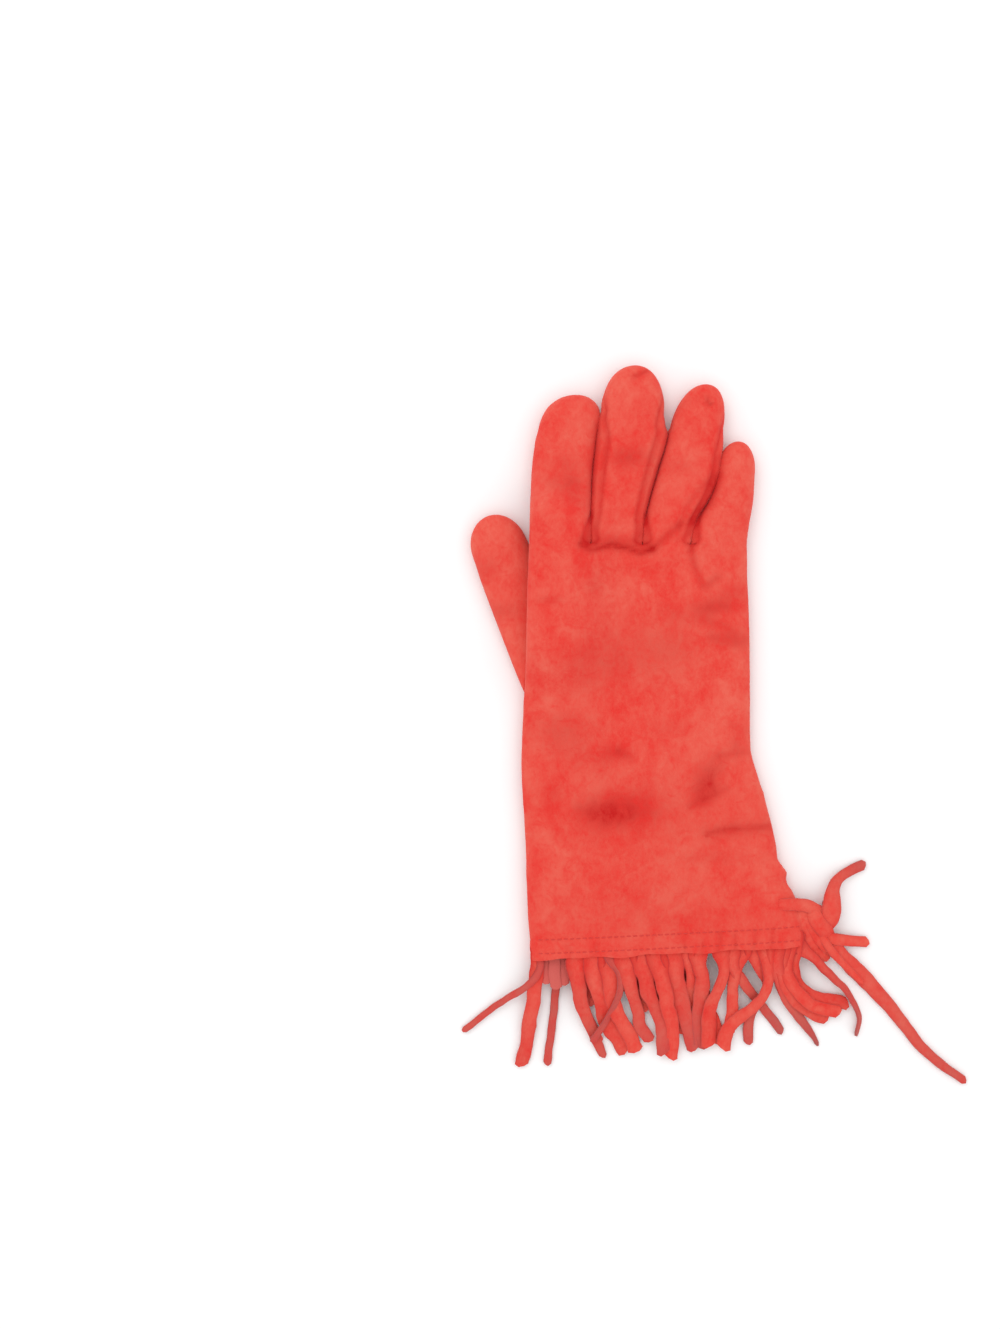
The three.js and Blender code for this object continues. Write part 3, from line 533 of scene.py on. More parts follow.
def skin_normals(places, faces):
    tri = np.array(list(triangles(faces)))
    p = places[tri]
    out = np.zeros(places.shape)
    flat = np.cross(p[:, 1] - p[:, 0], p[:, 2] - p[:, 0])
    flat /= np.maximum(np.linalg.norm(flat, axis=1, keepdims=True), 1e-12)
    for corner in range(3):
        u, v = p[:, (corner + 1) % 3] - p[:, corner], p[:, (corner + 2) % 3] - p[:, corner]
        cos = (u * v).sum(1) / np.maximum(np.linalg.norm(u, axis=1) * np.linalg.norm(v, axis=1), 1e-12)
        np.add.at(out, tri[:, corner], flat * np.arccos(np.clip(cos, -1, 1))[:, None])
    return out / np.maximum(np.linalg.norm(out, axis=1, keepdims=True), 1e-12)


def tube_faces(rings, size, closed=False):
    """Faces between each ring of points and the next, and from the last to the first if closed."""
    faces = []
    for j in range(rings if closed else rings - 1):
        following = (j + 1) % rings
        for i in range(size):
            k = (i + 1) % size
            faces.append((j * size + i, following * size + i, following * size + k, j * size + k))
    return faces


def add_object(name, data):
    made = bpy.data.objects.new(name, data)
    bpy.context.scene.collection.objects.link(made)
    return made


def face_outwards(obj, weld=None):
    """Turn a piece's faces outwards, its points nearer than weld (metres) merged first."""
    bpy.ops.object.select_all(action="DESELECT")
    obj.select_set(True)
    bpy.context.view_layer.objects.active = obj
    bpy.ops.object.mode_set(mode="EDIT")
    bpy.ops.mesh.select_all(action="SELECT")
    if weld:
        bpy.ops.mesh.remove_doubles(threshold=weld)
    bpy.ops.mesh.normals_make_consistent(inside=False)
    bpy.ops.object.mode_set(mode="OBJECT")


def mesh_object(name, places, faces, attributes=None):
    """A mesh in the part's frame from pattern places, with its numbers for each corner point."""
    mesh = bpy.data.meshes.new(name)
    mesh.from_pydata(place(places).tolist(), [], [list(dict.fromkeys(f)) for f in faces])
    for key, values in (attributes or {}).items():
        mesh.attributes.new(key, "FLOAT", "POINT").data.foreach_set("value", np.asarray(values, np.float32))
    mesh.polygons.foreach_set("use_smooth", [True] * len(mesh.polygons))
    mesh.validate()
    mesh.update()
    return add_object(name, mesh)


def leather_sheet(name, places, normals, quads, numbers):
    """A piece of leather from faces of the skin: outer side, inner side and the cut edge between."""
    used = np.unique(np.array(quads))
    number = {old: new for new, old in enumerate(used)}
    outer = [tuple(number[c] for c in quad) for quad in quads]
    count = len(used)
    inner = [tuple(count + c for c in reversed(quad)) for quad in outer]
    edges = {}
    for quad in outer:
        ring = list(dict.fromkeys(quad))
        if len(ring) < 3:
            continue
        for a, b in zip(ring, ring[1:] + ring[:1]):
            if (b, a) in edges:
                del edges[(b, a)]
            else:
                edges[(a, b)] = True
    wall = [(b, a, count + a, count + b) for a, b in edges]
    faces = [f for f in outer + inner + wall if len(set(f)) > 2]
    shape = np.concatenate([places[used], places[used] - normals[used] * WALL])
    attributes = {key: np.concatenate([values[used], values[used]]) for key, values in numbers.items()}
    attributes["flesh"] = np.concatenate([np.zeros(count), np.ones(count)])
    return mesh_object(name, shape, faces, attributes)


def waviness(places):
    """Small unevenness of soft leather along its normals."""
    bump = np.empty(len(places))
    for i, (x, y, z) in enumerate(places):
        slow = noise.noise(Vector((x / 9, y / 12, z / 9)))
        fast = noise.noise(Vector((x / 3.1 + 40, y / 3.6, z / 3.1)))
        bump[i] = 0.17 * slow + 0.06 * fast
    return bump


def make_hand():
    places, shade_and_wear_values, seam, quads = glove_skin()
    every = [quad for faces in quads.values() for quad in faces]
    tree = kdtree.KDTree(len(seam))
    for i, (point, _) in enumerate(seam):
        tree.insert(point, i)
    tree.balance()
    found = [tree.find(point) for point in places]
    away = np.array([distance for _, _, distance in found])
    strength = smooth(np.array([seam[i][1] for _, i, _ in found]), 0, 0.6)
    # the groove also paints shade along the seams, through the seam number
    groove = hill(away, GROOVE_WIDE) * strength
    swell = hill(away - SWELL_AT, SWELL_WIDE) * strength
    normals = skin_normals(places, every)
    x, y, z = places.T
    hem_y = y - hem_rise(x, y)
    hem = -EDGE_DEEP * hill(hem_y, EDGE_WIDE)
    for line in HEM_ROWS:
        hem = hem - DENT_DEEP * hill(hem_y - line, DENT_WIDE)
    hem = hem + PUFF_TALL * hill(hem_y - PUFF_AT, PUFF_WIDE)
    relief = -GROOVE_DEEP * groove + SWELL_TALL * swell + hem + waviness(places) * (1 - hill(hem_y, 1.5))
    under = (z < 1.2) & (normals[:, 2] < -0.8)  # what lies on the table is only pressed in
    places = places + normals * np.where(under, np.minimum(relief, 0), relief)[:, None]
    places[:, 2] = np.maximum(places[:, 2], 0)
    normals = skin_normals(places, every)
    # painted shade: the seam number darkens the seam grooves, the other number the creases and valleys,
    # together with the worn patches
    numbers = {"seam": groove, "shade_and_wear": shade_and_wear_values}
    pieces = {"hand_suede": ("hand", ("back", "palm"))}
    forks = ("fourchette_index_middle", "fourchette_middle_ring", "fourchette_ring_little")
    pieces.update({node + "_suede": (k, (node,)) for k, node in enumerate(forks)})
    made = {}
    for name, (key, nodes) in pieces.items():
        piece = leather_sheet(name, places, normals, quads[key], numbers)
        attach(piece, "root")
        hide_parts(*nodes)
        piece.data.set_sharp_from_angle(angle=rad(60))
        made[name] = piece
    return made


def make_hem_stitches(hand):
    """Two rows of machine stitches round the cuff, sunk a little into the suede."""
    stitch, thick, pitch = 2.1, 0.5, 2.7
    bpy.ops.object.select_all(action="DESELECT")
    bpy.ops.mesh.primitive_cylinder_add(vertices=6, radius=thick / 2 * MM, depth=stitch * 0.6 * MM)
    model = bpy.context.object
    bpy.ops.object.mode_set(mode="EDIT")
    bpy.ops.mesh.select_all(action="SELECT")
    bpy.ops.transform.rotate(value=math.pi / 2, orient_axis="Y", center_override=(0, 0, 0))
    mesh = bmesh.from_edit_mesh(model.data)
    for end in (-1, 1):
        bpy.ops.mesh.select_all(action="DESELECT")
        for face in mesh.faces:
            if face.normal.x * end > 0.9:
                face.select = True
        step = (end * stitch * 0.2 * MM, 0, -0.2 * MM)
        bpy.ops.mesh.extrude_region_move(TRANSFORM_OT_translate={"value": step})
        bpy.ops.transform.resize(value=(1, 0.45, 0.45))
        mesh = bmesh.from_edit_mesh(model.data)
    bpy.ops.object.mode_set(mode="OBJECT")
    shape = np.array([v.co[:] for v in model.data.vertices]) / MM
    cells = [tuple(p.vertices) for p in model.data.polygons]
    bpy.data.objects.remove(model)
    surface = BVHTree.FromObject(hand, bpy.context.evaluated_depsgraph_get())
    places, faces = [], []
    left, right = HAND[0][1:3]
    for row in HEM_ROWS:
        for side in (1, -1):
            for n in range(int((right - left) / pitch)):
                x = left + 1.5 + n * pitch
                slant = (1.3 * math.sin(n * 2.3) + 1.2) * 0.02
                spots = []
                for across in (x - stitch / 2, x + stitch / 2):
                    y = row + HEM_SLANT * (across - HAND[0][1])
                    start = Vector(place((across, y, 40.0 * side)))
                    spots.append(surface.ray_cast(start, Vector((0, 0, -side)))[0])
                if None in spots:
                    continue
                a, b = ((np.array(spot) - ORIGIN) / MM for spot in spots)
                if abs(b[2] - a[2]) > 1.2:
                    continue
                ahead = (b - a) / np.linalg.norm(b - a)
                across = np.cross((0, 0, side), ahead)
                across /= np.linalg.norm(across)
                out = np.cross(ahead, across)
                base = len(places) * len(shape)
                middle = (a + b) / 2 + out * 0.06
                axes = np.array([ahead + across * slant, across, out])
                places.append(middle + shape @ axes)
                faces += [tuple(base + c for c in cell) for cell in cells]
    stitches = mesh_object("hem_stitches", on_table(np.concatenate(places)), faces)
    face_outwards(stitches)
    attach(stitches, "root")
    return stitches


def under_palm(x, y):
    """Height of the palm's underside at a place, or of its folded edge outside the hand."""
    left, right = along(HAND, 1, min(y, KNUCKLES)), along(HAND, 2, min(y, KNUCKLES))
    fold = along(HAND, 3, min(y, KNUCKLES)) * FOLD_HEIGHT
    share = (x - left) / (right - left)
    bulge = hand_bulge(share) if 0 < share < 1 else 0
    if share <= 0:
        return 99.0
    return max(0.0, fold * (1 - bulge) - PALM_FLAT) + float(lift(x, y))


def make_thumb():
    """The thumb, a closed tube whose top is pressed flat where the palm lies on it."""
    (root_x, root_y), lean = THUMB["root"], rad(THUMB["lean"])
    cos, sin = math.cos(lean), math.sin(lean)
    reach, knuckle, rows = THUMB["reach"], THUMB["knuckle"], THUMB["rows"]
    sides = 44
    stations = [(d, along(rows, 1, d), along(rows, 2, d), 1.0) for d in np.linspace(0, knuckle, 62)]
    half, tall = rows[-1][1:]
    for degrees in np.linspace(0, 90, 16)[1:]:
        s, c = math.sin(rad(degrees)), max(math.cos(rad(degrees)), 0)
        stations.append((lerp(knuckle, reach, s), half * c, tall, c**TIP_CLOSE))
    exponent = 2 / FINGER_ROUND
    places = []
    for d, half, tall, close in stations:
        fold = tall * FOLD_HEIGHT
        for i in range(sides):
            angle = 2 * math.pi * i / sides
            up = float(power(math.sin(angle), exponent)) * close
            z = fold + ((tall - fold) * up if up > 0 else fold * up * 1.08)
            across = half * float(power(math.cos(angle), exponent))
            x, y = root_x + d * sin + across * cos, root_y + d * cos - across * sin
            wave = 0.22 * noise.noise(Vector((x / 8, y / 10, z / 8))) if z > 0.8 else 0
            z = min(max(z + wave, 0), under_palm(x, y) + 0.35)
            places.append((x, y, z))
    faces = [(a, d, c, b) for a, b, c, d in tube_faces(len(stations), sides)]
    faces.append(tuple(reversed(range(sides))))
    places = np.array(places)
    seam = np.zeros(len(places))
    numbers = {"seam": seam, "shade_and_wear": worn(places[:, 0], places[:, 1]), "flesh": seam}
    thumb = mesh_object("thumb_suede", places, faces, numbers)
    face_outwards(thumb, weld=0.00002)
    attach(thumb, "root")
    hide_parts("thumb")
    return thumb


# Strips and laces


def smooth_path(points, step):
    """Evenly spaced points on a smooth curve through the given ones."""
    p = np.array(points, float)
    ends = np.concatenate([[2 * p[0] - p[1]], p, [2 * p[-1] - p[-2]]])
    fine = []
    for i in range(1, len(ends) - 2):
        a, b, c, d = ends[i - 1 : i + 3]
        for t in np.linspace(0, 1, 24, endpoint=False):
            point = 2 * b + (c - a) * t + (2 * a - 5 * b + 4 * c - d) * t**2
            fine.append(0.5 * (point + (3 * b - a - 3 * c + d) * t**3))
    fine.append(p[-1])
    fine = np.array(fine)
    gone = np.concatenate([[0], np.cumsum(np.linalg.norm(np.diff(fine, axis=0), axis=1))])
    count = max(3, round(gone[-1] / step) + 1)
    even = np.linspace(0, gone[-1], count)
    return np.stack([np.interp(even, gone, fine[:, k]) for k in range(3)], axis=1)


# The section of a strip, and by place how much of its flesh side shows and how much painted shade darkens its
# edges.
HALF_SECTION = [(-1, 0.35), (-0.86, 1), (-0.3, 1), (0.3, 1), (0.86, 1), (1, 0.35)]
SECTION = HALF_SECTION + [(-x, -y) for x, y in HALF_SECTION]
UNDER = {1: 0.0, 0.35: 0.45, -0.35: 0.8, -1: 1.0}
EDGE_SHADE = {0.3: 0.0, 0.86: 0.5, 1: 1.5}


RIBBON_STEP = 1.2  # spacing of the rings of mesh along a strip
BLUNT = 0.45  # how long the rounding of a strip's tip is, in half widths


def ribbon(points, wide, thick, rolls=(0,), slant=0.0, cup=0.0, ragged=0.0, seed=0, dull=(0, 0)):
    """Places, faces, marks of flesh side, painted edge shade and darkening, and path of a strip of leather.

    Wide may be a list along the strip. Rolls turn it about its path, in degrees. Slant cuts its tip
    aslant, cup curls it across and ragged makes its edges uneven. Dull is how much darker and greyer
    it is painted, at the root and at the tip; on strips that lie in shade this is painted shade.
    """
    path = smooth_path(points, RIBBON_STEP)
    n = len(path)
    t = np.linspace(0, 1, n)
    wides = np.interp(t, np.linspace(0, 1, len(np.atleast_1d(wide))), np.atleast_1d(wide))
    turn = np.radians(np.interp(t, np.linspace(0, 1, len(rolls)), rolls))
    ahead = np.gradient(path, axis=0)
    ahead /= np.linalg.norm(ahead, axis=1, keepdims=True)
    across = np.cross(ahead, (0, 0, 1))
    across /= np.maximum(np.linalg.norm(across, axis=1, keepdims=True), 1e-9)
    out = np.cross(across, ahead)
    side = np.cos(turn)[:, None] * across + np.sin(turn)[:, None] * out
    top = -np.sin(turn)[:, None] * across + np.cos(turn)[:, None] * out
    places, marks = [], []
    from_end = (n - 1 - np.arange(n)) * RIBBON_STEP / (wides[-1] / 2 * BLUNT)
    wides = wides * np.sqrt(1 - np.clip(1 - from_end, 0, 0.93) ** 2.4)
    sway = []
    for i in range(n):
        wander = noise.noise(Vector((i * RIBBON_STEP / 7, seed * 5.1, 9.5)))
        sway.append(0.35 * ragged / 0.16 * wander * min(1, i / 5))
    path = path + side * np.array(sway)[:, None]
    for i in range(n):
        half = wides[i] / 2
        edge = []
        for s in (0, 1):
            uneven = noise.noise(Vector((i * RIBBON_STEP / 4, seed * 7.3 + s * 3.1, 0.5)))
            edge.append(half * (1 + ragged * uneven))
        for x, y in SECTION:
            w = x * (edge[0] if x < 0 else edge[1])
            bend = cup * half * (x * x - 0.4)
            end = slant * w * max(0, 1 - (n - 1 - i) * RIBBON_STEP / max(half, 1)) if i > n - 6 else 0
            places.append(path[i] + side[i] * w + top[i] * (y * thick / 2 + bend) + ahead[i] * end)
            marks.append((UNDER[y], EDGE_SHADE[abs(x)], lerp(*dull, t[i] ** 2)))
    size = len(SECTION)
    faces = tube_faces(n, size)
    faces.append(tuple(range(size)))
    faces.append(tuple((n - 1) * size + i for i in reversed(range(size))))
    return on_table(places), faces, np.array(marks), path


def on_table(places):
    """The places, none of them under the table."""
    return np.maximum(np.array(places), (-math.inf, -math.inf, 0))


def joined(name, parts):
    """One object from several ribbons."""
    places, faces, marks, base = [], [], [], 0
    for ribbon_places, ribbon_faces, ribbon_marks, _ in parts:
        places.append(ribbon_places)
        marks.append(ribbon_marks)
        faces += [tuple(base + c for c in face) for face in ribbon_faces]
        base += len(ribbon_places)
    flesh, edge, darkening = np.concatenate(marks).T
    # the edge marks go in as painted shade along the strips' sides
    numbers = {"flesh": flesh, "seam": flesh * 0, "shade_and_wear": edge, "darkening": darkening}
    made = mesh_object(name, np.concatenate(places), faces, numbers)
    made.data.set_sharp_from_angle(angle=rad(34))
    return made


# The lace: out of a slit in the cuff, through the knot and on as the long end, and its upper end.
STRAP = [
    (59.6, 23.9, 8.6), (62.6, 23.9, 8.8), (66.2, 23.8, 8.3), (70, 23.5, 7.2), (74, 22.3, 6.0),
    (77.2, 19.9, 5.0),
]
THROUGH = [(79.5, 16.6, 4.4), (81.0, 12.8, 3.8), (82.5, 9.0, 3.6)]
LONG_END = [
    (84.9, 5.0, 3.4), (88.4, 0.2, 2.6), (95, -6.4, 1.4), (101, -12.6, 1.0), (106.6, -18.6, 0.9),
    (111.8, -24.9, 0.9), (117, -31.8, 0.9), (122.5, -38.7, 0.9), (131.5, -46.6, 0.9), (141.9, -53.8, 0.9),
]
LACE_WIDTHS = (5.4, 5.6, 5.6, 5.2, 5.2, 6.6, 7.4, 7.2, 6.6, 6.0, 5.4, 5.0, 4.6, 4.2, 3.8, 3.6)
IN_KNOT = [(81.2, 13.0, 3.2), (82.2, 17.4, 5.9), (82.9, 22.4, 6.4), (83.2, 26.4, 5.6)]
UPPER_END = [(84.0, 30.4, 4.1), (86.0, 34.0, 2.9), (89.6, 36.6, 1.7), (93.8, 38.6, 1.0), (98.4, 40.6, 0.9)]
UPPER_WIDTHS = (5.4, 7.6, 8.4, 7.6, 5.6, 4.6, 4.4, 4.6, 4.4)

# The rest of the knot: bands of lace with their widths, the lowest first.
KNOT_BANDS = [
    ([(68.4, 21.6, 6.0), (69.9, 17.4, 5.8), (72.2, 12.4, 5.2), (74.6, 7.6, 4.4), (76.4, 3.4, 3.4)],
     6.2, (4, 10)),
    ([(72.6, 20.8, 4.2), (75.6, 15.6, 4.8), (78.0, 10.6, 4.2), (80.6, 6.4, 3.2), (82.6, 3.6, 2.0)],
     5.4, (0, 6)),
    ([(66.4, 7.6, 4.0), (70.2, 6.0, 4.2), (74.4, 3.6, 3.6), (78.6, 1.4, 3.0), (82.4, 0.8, 1.8)],
     5.2, (-6, 0)),
    ([(70.8, 19.6, 5.4), (73.2, 14.6, 5.6), (76.4, 9.0, 4.8), (80.0, 4.6, 3.6), (85.0, 1.4, 2.4)],
     3.4, (0, 8)),
    ([(78.6, 10.0, 4.6), (82.0, 4.6, 4.9), (86.4, -0.6, 3.9), (91.4, -5.6, 2.7), (97.0, -11.0, 1.9)],
     (3.4, 3.6, 3.0, 2.4), (0,)),
    ([(79.0, 9.6, 3.0), (84.6, 8.4, 4.4), (89.4, 7.8, 3.4), (95, 7.2, 1.7), (99.8, 6.8, 0.9)],
     (4.6, 5.2, 4.8, 4.6), (0,)),
    ([(76.6, 23.2, 3.4), (75.4, 19.6, 6.0), (77.0, 15.6, 6.6), (80.2, 12.2, 5.6), (81.6, 9.6, 3.6)],
     7.0, (-8, 4)),
]
KNOT_CORES = [
    ((81.8, 20.2, 3.0), 9.6, 5.4, 80),
    ((78.4, 14.8, 2.9), 7.6, 5.2, 60),
]


def wrap(loop, axis, wide, thick):
    """A flat band round a closed loop, its width along the axis."""
    path = smooth_path(loop, 1.0)[:-1]
    n = len(path)
    axis = np.array(axis, float) / np.linalg.norm(axis)
    ahead = np.roll(path, -1, axis=0) - np.roll(path, 1, axis=0)
    ahead /= np.linalg.norm(ahead, axis=1, keepdims=True)
    out = np.cross(axis, ahead)
    out /= np.linalg.norm(out, axis=1, keepdims=True)
    middle = path.mean(axis=0)
    if ((path - middle) * out).sum() < 0:
        out = -out
    places, marks = [], []
    for i in range(n):
        pinch = 1 + 0.1 * math.sin(5 * math.pi * i / n)
        for x, y in SECTION:
            bow = 0.55 * (1 - x * x)
            places.append(path[i] + axis * x * wide / 2 * pinch + out[i] * (y * thick / 2 + bow))
            marks.append((UNDER[y], EDGE_SHADE[abs(x)], 0.0))
    return on_table(places), tube_faces(n, len(SECTION), closed=True), np.array(marks), path


def core_loop(centre, wide, tall, lean):
    """A closed loop of lace standing on its edge round the inside of the knot."""
    loop = []
    for i in range(12):
        a = 2 * math.pi * i / 12
        side, up = wide / 2 * math.cos(a), tall / 2 * math.sin(a)
        x, y = centre[0] + side * math.cos(rad(lean)), centre[1] + side * math.sin(rad(lean))
        loop.append((x, y, centre[2] + up))
    return loop + loop[:1]


def make_lace():
    bands = []
    for n, (way, wide, rolls) in enumerate(KNOT_BANDS):
        bands.append(ribbon(way, wide, KNOT_THICK, rolls, slant=0.3, cup=-0.16, ragged=0.1, seed=20 + n))
    for centre, wide, tall, lean in KNOT_CORES:
        axis = (math.sin(rad(lean)), -math.cos(rad(lean)), 0)
        bands.append(wrap(core_loop(centre, wide, tall, lean), axis, LACE_WIDE, KNOT_THICK))
    knot = joined("tie_knot_lace", bands)
    way = STRAP + THROUGH + LONG_END
    main = ribbon(way, LACE_WIDTHS, LACE_THICK, slant=0.5, cup=-0.1, ragged=0.08, seed=3, dull=(0, 0.5))
    way = IN_KNOT + UPPER_END
    upper = ribbon(way, UPPER_WIDTHS, LACE_THICK, slant=-0.4, cup=-0.16, ragged=0.08, seed=5, dull=(0, 0.6))
    lace, end = joined("tie_lace", [main]), joined("tie_upper_lace", [upper])
    for piece in (knot, lace, end):
        face_outwards(piece)
        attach(piece, "root")
    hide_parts("tie_strap", "tie_end_long")
    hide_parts("tie_end_upper")
    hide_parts("tie_knot", "tie_end_side", "tie_strap_low")
    return [knot, lace, end]


# Strips of the back as they lie: the way down from the hem, widths, heights at rest, rolls and how
# much darker and greyer they are painted, from root to tip; on strips in shade this is painted shade.
FRINGE = [
    ([(-43, -4), (-47.6, -10.8), (-60.2, -19.4), (-76.5, -32)], (3.2, 3.0, 2.8), 0.6, (0, -10), (0.5, 0.5)),
    ([(-44.0, 0), (-45.2, -13), (-47.6, -29), (-50.8, -47.3)], (6.2, 6.2, 5.8), (2.0, 0.7), (0, 6), (0, 0.2)),
    ([(-26.6, 1), (-27, -9), (-24.8, -20), (-20.2, -32), (-15.2, -43.5)],
     (8, 7, 6.2, 5, 3.4), (1.8, 0.7), (0, 14, -8), (0, 0.5)),
    ([(-20, 0), (-19.6, -9), (-16.6, -19), (-14.6, -27), (-10, -34), (-5.4, -41)],
     (7.6, 7.4, 6.4, 6.4, 6.8, 7), (1.7, 0.8), (0, -8), (0, 0.1)),
    ([(-13.6, 0), (-13, -9), (-11, -20), (-8, -27), (-4.2, -34), (-0.9, -40.8)],
     (7.6, 7.2, 6.2, 6.4, 6.8), (2.7, 1.6), (0, 8), (0, 0)),
    ([(-6.4, 0), (-4.8, -9), (-0.8, -22), (0.4, -29.6), (5, -36.4)],
     (7.6, 7.4, 5.4, 5.4, 5.4), (2.2, 1.6), (0, 5), (0, 0.4)),
    ([(0.2, 0.5), (3.2, -12), (7, -22), (9.8, -31), (10.6, -42)],
     (7.4, 7.2, 6.2, 5.6, 5.8), 2.4, (0, 9), (0, 0.5)),
    ([(7.0, 0.6), (9.8, -9), (12.4, -21), (14.4, -31), (13.9, -44)],
     (7.4, 7, 6.4, 6, 5.6), (3.2, 1.8), (0, -9), (0, 0)),
    ([(20.4, 0.8), (21.8, -8), (22.6, -18), (23.0, -28), (25, -35.4)],
     (4, 3.4, 5, 5.6, 5), (1.2, 0.8), (0, 6), (0, 0)),
    ([(13.6, 1), (15.6, -6), (17.9, -18), (21.2, -31), (23.4, -40.5)],
     (7.2, 7.4, 7, 6.4, 5.4), 1.9, (0, -6), (0, 0.5)),
    ([(24.6, 1.6), (25.6, -3), (27, -10), (26.6, -20), (26.4, -30), (27, -39.4)],
     (6.4, 5.8, 6.4, 7, 6.6, 6), (2.7, 1.6), (0, 9), (0, 0.6)),
    ([(38.8, 3), (40.6, -3.6), (45.4, -11), (49.8, -16.4), (54, -21.5), (58.4, -27), (62.2, -33)],
     (7.5, 4.8, 4.6, 4.2, 4.2, 3.4), (1.2, 0.6), (0, -16, 0), (0, 0.9)),
    ([(48.4, 3.6), (51, -2.5), (54.4, -8.4), (54.6, -14), (51, -20.4), (48, -26), (47.5, -37.8)],
     (8, 5.6, 4.4, 4.4, 4.4, 4.4), (1.4, 0.6), (0, 14, 0), (0, 0.6)),
    ([(44.2, 2.6), (41.4, -4.5), (40.4, -14), (40.2, -22), (39.2, -28), (38.8, -33)],
     (7, 4.9, 4.9, 4.9), (2.9, 2.6), (0, -12, 0), (0, 0)),
    ([(35.0, 2), (36, -6), (33.2, -14.5), (30.4, -22), (30.2, -31), (30.4, -38.6)],
     (7, 5, 5.6, 6.6, 6.8), (3.4, 1.8), (0, 26, 8), (0, 0)),
    ([(53.4, 4), (55, -3), (55.4, -9), (53, -16.2), (48.6, -21.3), (43.4, -25.6), (38.2, -31), (36.4, -39.6)],
     (7.6, 6, 5, 5, 5.6, 6.4, 6.6), (3.6, 2.6), (0, 24, 0), (0, 0)),
    ([(57.8, 4), (59, -3), (61.4, -10), (64.2, -17.4), (68.8, -25), (73.2, -31), (76, -35), (77.7, -38.4)],
     (7, 6.4, 5.8, 5, 4, 1.6), (1.6, 0.6), (0, 10, 30), (0, 1)),
    ([(60.8, 4), (61, -5), (64.4, -13), (69.6, -20), (75.6, -24), (82.2, -26.4)],
     (6.4, 6, 5.6), (2.7, 0.9), (0, 8, 0), (0, 0.1)),
    ([(63.8, 4), (63.4, -4), (66.4, -12), (71.6, -18), (78, -21.6), (87.4, -23.4)],
     5.6, (3.6, 1.8), (0, -8, 0), (0, 0)),
    ([(66.4, 4), (66.2, -3.6), (68.2, -10.4), (72.6, -14.8), (79, -17.8), (86, -18.8), (91, -20.2)],
     5.4, (2.6, 0.9), (0, -14, 10), (0, 0.1)),
    ([(68, 3), (77, -1.4), (83.6, -8.4), (88.4, -12.6), (92.7, -19), (95.6, -26), (94.2, -34)],
     (4.6, 4, 3.6), (2.2, 0.9), (0, 20, 50, 60), (0.1, 0.8)),
    ([(-12, 0.6), (-8.4, -6.5), (-9.2, -16), (-14.2, -26.5), (-20.4, -36.4)],
     (5, 4.4, 3.6, 3.2, 3.6), (4.6, 2.8), (0, 34, 50, 20), (0.5, 0.6)),
]

# Uncut leather of the palm side at the left, its flesh side up: way, width and height.
RECESS = [
    ([(-41, 2), (-40.6, -5), (-40.0, -10.8)], 4.8, 5.0),
    ([(-32.4, 2), (-32.4, -6), (-32.8, -11.4)], 4.8, 5.2),
    ([(-36.8, 2), (-36.6, -6), (-36.4, -13)], 5.2, 5.9),
]

# Strips of the palm side, seen between the others: their way, width, height and how much darker and greyer
# they are painted, which is painted shade.
LOW_FRINGE = [
    ([(-43, -1), (-45.8, -18), (-49.4, -42)], 4.6, 0.9, 0),
    ([(-35.6, -9), (-36.3, -16), (-37.3, -28), (-40, -46.8)], 3.4, 0.9, 0.5),
    ([(-28.6, -1), (-27, -12), (-24, -22), (-20, -31), (-17, -38)], 5.0, 0.9, 0),
    ([(-23.4, -1), (-22.8, -9), (-22, -16), (-21.8, -21)], 5.4, 0.9, 0.2),
    ([(-16.6, -1), (-15.4, -12), (-13.4, -22), (-11, -31), (-7, -38.6)], 5.6, 0.9, 0),
    ([(-9.4, -1), (-7.2, -8), (-6.4, -14.6)], 5.0, 1.4, 0),
    ([(-1.6, -1), (0.4, -12), (3.8, -23)], 5.6, 1.4, 0),
    ([(4.4, -1), (6.8, -12), (10, -24), (12.4, -36)], 5.6, 0.9, 0),
    ([(-10.4, -1), (-11.6, -8), (-16, -15.5), (-20.2, -20)], 5.2, 1.6, 0.1),
    ([(10.6, -1), (13.4, -12), (16.2, -24), (17.6, -33)], 6.2, 0.9, 0),
    ([(19.6, -1), (21.6, -13), (22.8, -24), (25, -37.6)], 7.0, 0.9, 0),
    ([(26.4, -1), (27.6, -12), (29.4, -20), (33.4, -30), (35.6, -38)], 5.4, 0.9, 0),
    ([(39.6, -1), (40.6, -12), (40.2, -24), (38, -34)], 4.2, 0.9, 0.2),
    ([(58, -1), (60.4, -9), (64.6, -18), (69.6, -26)], 4.6, 0.9, 0),
    ([(64.4, -1), (66.2, -8), (70.6, -15.6), (77, -20.6)], 5.0, 0.9, 0),
]


def hem_height(x, side):
    """Height of the heading band inside the hem, on the back or on the palm side."""
    left, right, tall = HAND[0][1:]
    share = min(max((x - left) / (right - left), 0.02), 0.98)
    fold = tall * FOLD_HEIGHT
    bulge = hand_bulge(share)
    if side > 0:
        return fold + (tall - fold) * bulge - WALL - 1.1
    return max(0.0, fold * (1 - bulge) - PALM_FLAT) + WALL + 0.9


def strip_widths(wide, length):
    """Widths along a strip of the back, wider near the hem, where it is joined to its neighbours."""
    wide, t = np.atleast_1d(wide), np.linspace(0, 1, 24)
    return np.interp(t, np.linspace(0, 1, len(wide)), wide) + ROOT_EXTRA * (1 - smooth(t * length, 6, 14))


def root_place(way):
    """A strip's first place, moved with the slant of the hem."""
    x, y = way[0]
    return x, y + HEM_SLANT * (x - HAND[0][1]) * ROOT_SLANT


